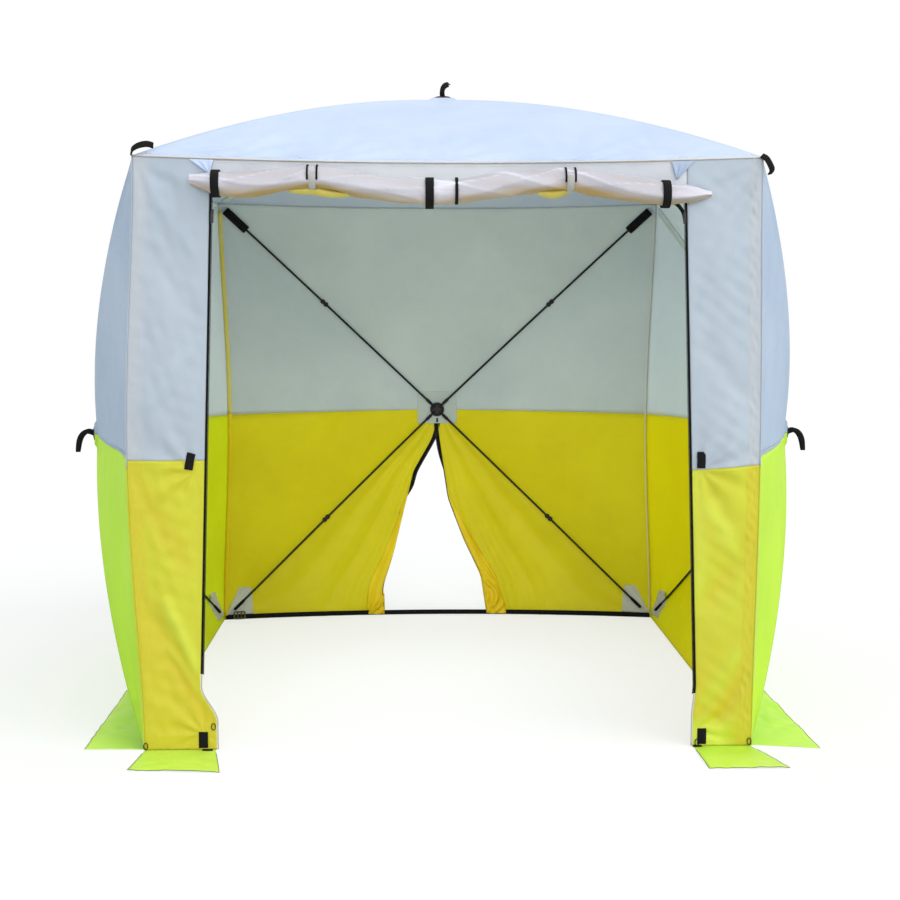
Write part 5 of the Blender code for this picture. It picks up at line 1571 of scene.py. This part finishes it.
def on_cloth(face, across, up, out):
    """Points over the outside of a face's cloth."""
    across, up = np.broadcast_arrays(np.asarray(across, float), np.asarray(up, float))
    height = face.cloth_height(across, up) + creases(face, across, up)
    return [Vector(p) for p in face.world(across, up, height + out)]


for face in (FACES["left"], FACES["right"], FACES["back"]):
    for part, low, high in (("one", -0.995, -0.052), ("two", 0.052, 0.995)):
        across = np.linspace(low, high, 80) * face.half_width
        path = on_cloth(face, across, 0.004, SEAM_OUT)
        bm = strap_parts(bmesh.new(), path, [Vector((0, 0, 1))] * len(path), SEAM_WIDTH, 0.0009)
        made = close_mesh(f"{face.name}_middle_seam_{part}", bm, "pale_side")
        pop_with(made)
    lines = []
    for low, high in ((-0.99, -0.055), (0.055, 0.99)):
        across = np.linspace(low, high, 120) * face.half_width
        lines += [on_cloth(face, across, up, SEAM_STITCH_OUT) for up in (0.0, 0.008)]
    for side in (-1, 1):
        up = np.linspace(-0.985, 0.985, 160) * face.half_height
        for inset in (0.010, 0.017):
            lines.append(on_cloth(face, side * (face.half_width - inset), up, STITCH_OUT))
    if face.name != "back":
        across = np.linspace(-0.985, 0.985, 200) * face.half_width
        lines += [on_cloth(face, across, -face.half_height + inset, STITCH_OUT) for inset in (0.012, 0.019)]
    made = along_line(f"{face.name}_wall_stitches", mesh_line(lines), STITCH_PITCH, STITCH_SIZE,
                      "thread_pale", shape="stitch")
    pop_with(made)
print("middle seams sewn on three walls")

# %% The roof's stitches
face = FACES["roof"]
lines = []
for side in (-1, 1):
    run = np.linspace(-0.985, 0.985, 160) * face.half_width
    for inset in (0.010, 0.017):
        lines.append(on_cloth(face, side * (face.half_width - inset), run, STITCH_OUT))
        lines.append(on_cloth(face, run, side * (face.half_width - inset), STITCH_OUT))
made = along_line("roof_stitches", mesh_line(lines), STITCH_PITCH, STITCH_SIZE, "thread_pale", shape="stitch")
pop_with(made)
print("rows of stitches on the roof:", len(lines))

# %% The posts' stitches
POST_STITCH_PITCH, POST_STITCH_SIZE = 0.0060, (0.0007, 0.0007, 0.0040)
for side, sign in (("left", -1), ("right", 1)):
    rows = {"lower": np.linspace(0.012, 0.820, 130), "upper": np.linspace(0.866, EAVE - 0.04, 130)}
    for part_name, heights in rows.items():
        lines = [[on_post(sign, inward, float(z), STITCH_OUT) for z in heights] for inward in (0.008, 0.034)]
        lines.append([on_post(sign, float(post_edge(min(z, ZIP_TOP), side)) - 0.008, float(z), STITCH_OUT)
                      for z in heights[heights > 0.03]])
        gap = -0.010 if part_name == "lower" else 0.010
        inwards = np.linspace(0.010, 0.170, 40)
        seam_row = seam_height(side, inwards / 0.187) + gap
        lines.append([on_post(sign, float(i), float(z), STITCH_OUT) for i, z in zip(inwards, seam_row)])
        if part_name == "lower":
            inwards = np.linspace(0.012, POST_LOW + POST_FLARES[side] - 0.012, 40)
            lines.append([on_post(sign, float(i), 0.014, STITCH_OUT) for i in inwards])
        thread = "thread_yellow" if part_name == "lower" else "thread_pale"
        made = along_line(f"post_stitches_{side}_{part_name}", mesh_line(lines), POST_STITCH_PITCH,
                          POST_STITCH_SIZE, thread, shape="stitch")
        "hi_vis_cloth" if part_name == "lower" else "pale_cloth"
        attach(made, "root")
print("posts stitched")

# %% The header's stitches
run = np.linspace(-0.66, 0.66, 200)
lines = [[Vector((float(x), FRONT_PLANE - 0.0012, eave_at(float(x)) - drop)) for x in run]
         for drop in (0.008, 0.070)]
made = along_line("header_stitches", mesh_line(lines), STITCH_PITCH, STITCH_SIZE, "thread_pale",
                  shape="stitch")
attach(made, "root")
print("rows of stitches on the header:", len(lines))

# %% [markdown]
# ## Tabs and loops
# Short black tabs on the posts hold the open door back, and others lie at the posts' feet. Each is a folded
# piece of webbing, so it is the same strap section swept along a short path. A tab follows the post's own
# cloth a millimetre or more away from it.

# %% Post tabs
def post_strap(name, sign, places, width, thickness):
    """A short webbing strap over a post through places (inward, height, out)."""
    path = smooth_path([on_post(sign, *place) for place in places], 4)
    made = close_mesh(name, strap_parts(bmesh.new(), path, [X_AXIS] * len(path), width, thickness), "webbing")
    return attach(made, "root")


for side, sign, inward, lean in (("left", -1, 0.158, 0.004), ("right", 1, 0.163, 0.0)):
    places = ((inward, 0.882, 0.0030), (inward - lean, 0.864, 0.0052), (inward - lean * 2, 0.834, 0.0034))
    post_strap(f"post_tab_{side}", sign, places, 0.025, 0.0026)
for side, sign, inward in (("left", -1, 0.172), ("right", 1, 0.146)):
    places = ((inward, 0.054, 0.0014), (inward, 0.030, 0.0013), (inward, 0.006, 0.0011))
    post_strap(f"foot_tab_{side}", sign, places, 0.027, 0.0014)
print("tabs on both posts, high and low")

# %% [markdown]
# ## Peg loops
# Small rings at the posts' feet take the ground pegs, and a short loose end of webbing lies before each post.
# All of them are one piece, because none of them moves.

# %% Peg loops
RING_WIDE, RING_TALL, RING_OUT = 0.006, 0.010, 0.0020
bm = bmesh.new()
for sign, inward, run, height in ((-1, 0.172, 0.030, 0.003), (1, 0.150, -0.026, 0.004)):
    x = sign * (HALF - inward)
    path = [Vector((x + run * k, FRONT_PLANE - 0.010 - 0.004 * math.sin(3 * k), height))
            for k in np.linspace(0, 1, 9)]
    strap_parts(bm, path, [Vector((0, 1, 0.3))] * len(path), 0.010, 0.0020)
for sign, inward, z in ((-1, 0.202, 0.070), (1, 0.160, 0.012), (1, 0.006, 0.014), (-1, 0.004, 0.012)):
    at = on_post(sign, inward, z, RING_OUT)
    turn = np.linspace(0, 2 * math.pi, 15)[:-1]
    ring = [at + Vector((math.cos(a) * RING_WIDE, -0.001, math.sin(a) * RING_TALL)) for a in turn]
    strap_parts(bm, ring, [Vector((0, 1, 0))] * len(ring), 0.0034, 0.0022, ring=True)
made = close_mesh("peg_loops", bm, "webbing")
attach(made, "root")
print("peg loops sewn")

# %% [markdown]
# ## Corner loops
# Loops at the four top corners take guy lines. The two at the front follow the picture. It hides the two at
# the back, so those are guessed, and are each other's mirror image. The last three numbers point across the
# webbing.

# %% Corner loops for guy lines
LOOP_WIDTH, LOOP_THICKNESS = 0.0195, 0.0048
CORNER_LOOPS = {
    "front_left": (((-0.903, FRONT_PLANE - 0.004, 1.734), (-0.897, FRONT_PLANE - 0.010, 1.748),
                    (-0.880, FRONT_PLANE - 0.012, 1.758), (-0.858, FRONT_PLANE - 0.006, 1.763),
                    (-0.842, FRONT_PLANE + 0.006, 1.760)), (0.1, 0.4, 1)),
    "front_right": (((0.897, FRONT_PLANE - 0.004, 1.736), (0.908, FRONT_PLANE - 0.010, 1.728),
                     (0.919, FRONT_PLANE - 0.013, 1.710), (0.926, FRONT_PLANE - 0.009, 1.694),
                     (0.922, FRONT_PLANE + 0.002, 1.684)), (1, 0.3, 0.5)),
    "back_left": (((-0.900, BACK_PLANE + 0.003, 1.733), (-0.916, BACK_PLANE + 0.008, 1.728),
                   (-0.924, BACK_PLANE + 0.009, 1.706), (-0.910, BACK_PLANE + 0.005, 1.682)), (-1, 0.8, 0.4)),
    "back_right": (((0.900, BACK_PLANE + 0.003, 1.733), (0.916, BACK_PLANE + 0.008, 1.728),
                    (0.924, BACK_PLANE + 0.009, 1.706), (0.910, BACK_PLANE + 0.005, 1.682)), (1, 0.8, 0.4)),
}
for corner, (places, axis) in CORNER_LOOPS.items():
    path = smooth_path(places, 5)
    across = [Vector(axis).normalized()] * len(path)
    bm = strap_parts(bmesh.new(), path, across, LOOP_WIDTH, LOOP_THICKNESS)
    made = close_mesh(f"corner_loop_{corner}", bm, "webbing")
    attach(made, "root")
print("corner loops:", len(CORNER_LOOPS))

# %% [markdown]
# ## Hem strap
# A black strap runs across the foot of the back wall and holds its bow.

# %% Hem strap
end = SIDE / 2 - 0.006
across = np.linspace(-end, end, 90)
bow = back.cloth_height(across, np.full(across.shape, -back.half_height))
path = [Vector((x, BACK_PLANE + float(b) - 0.0042, 0.0115)) for x, b in zip(across, bow)]
bm = strap_parts(bmesh.new(), path, [Vector((0, 0, 1))] * len(path), 0.020, 0.0020)
strap = close_mesh("hem_strap_webbing", bm, "webbing")
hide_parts("hem_strap")
pop_with(strap)
print("hem strap", round(2 * end, 3), "m long")

# %% [markdown]
# ## The strap's buckle
# A small olive buckle near the strap's left end adjusts it. It is a rounded frame with two bars. The frame's
# corners come from a power rule, which lies between a rectangle and an oval, so a high power is squarer.

# %% Buckle
BUCKLE_AT, BUCKLE_HEIGHT, BUCKLE_STAND, BAR_APART = -0.837, 0.0185, 0.0080, 0.007
BUCKLE_HALF_WIDTH, BUCKLE_HALF_HEIGHT, SQUARENESS = 0.022, 0.0145, 8


def on_strap(x, z):
    """A place in front of the hem strap, at a place across and a height."""
    return Vector((x, BACK_PLANE + float(back.cloth_height(x, -back.half_height)) - BUCKLE_STAND, z))


bm = bmesh.new()
corners = [(-1, -1), (1, -1), (1, 1), (-1, 1)]
ring = []
for (a, b), (c, d) in zip(corners, corners[1:] + corners[:1]):
    for k in np.linspace(0, 1, 8)[:-1]:
        u, v = a + (c - a) * k, b + (d - b) * k
        soft = 1 / max(abs(u) ** SQUARENESS + abs(v) ** SQUARENESS, 1e-9) ** (1 / SQUARENESS)
        x = BUCKLE_AT + u * soft * BUCKLE_HALF_WIDTH
        ring.append(on_strap(x, BUCKLE_HEIGHT + v * soft * BUCKLE_HALF_HEIGHT))
strap_parts(bm, ring, [Vector((0, 1, 0))] * len(ring), 0.0050, 0.0062, ring=True)
for x in (BUCKLE_AT - BAR_APART, BUCKLE_AT + BAR_APART):
    bar = [on_strap(x, BUCKLE_HEIGHT + v) for v in np.linspace(-0.0135, 0.0135, 6)]
    tube_parts(bm, bar, [0.0026] * len(bar), 10)
made = close_mesh("hem_buckle", bm, "olive")
pop_with(made)
print("buckle at", BUCKLE_AT, "m")
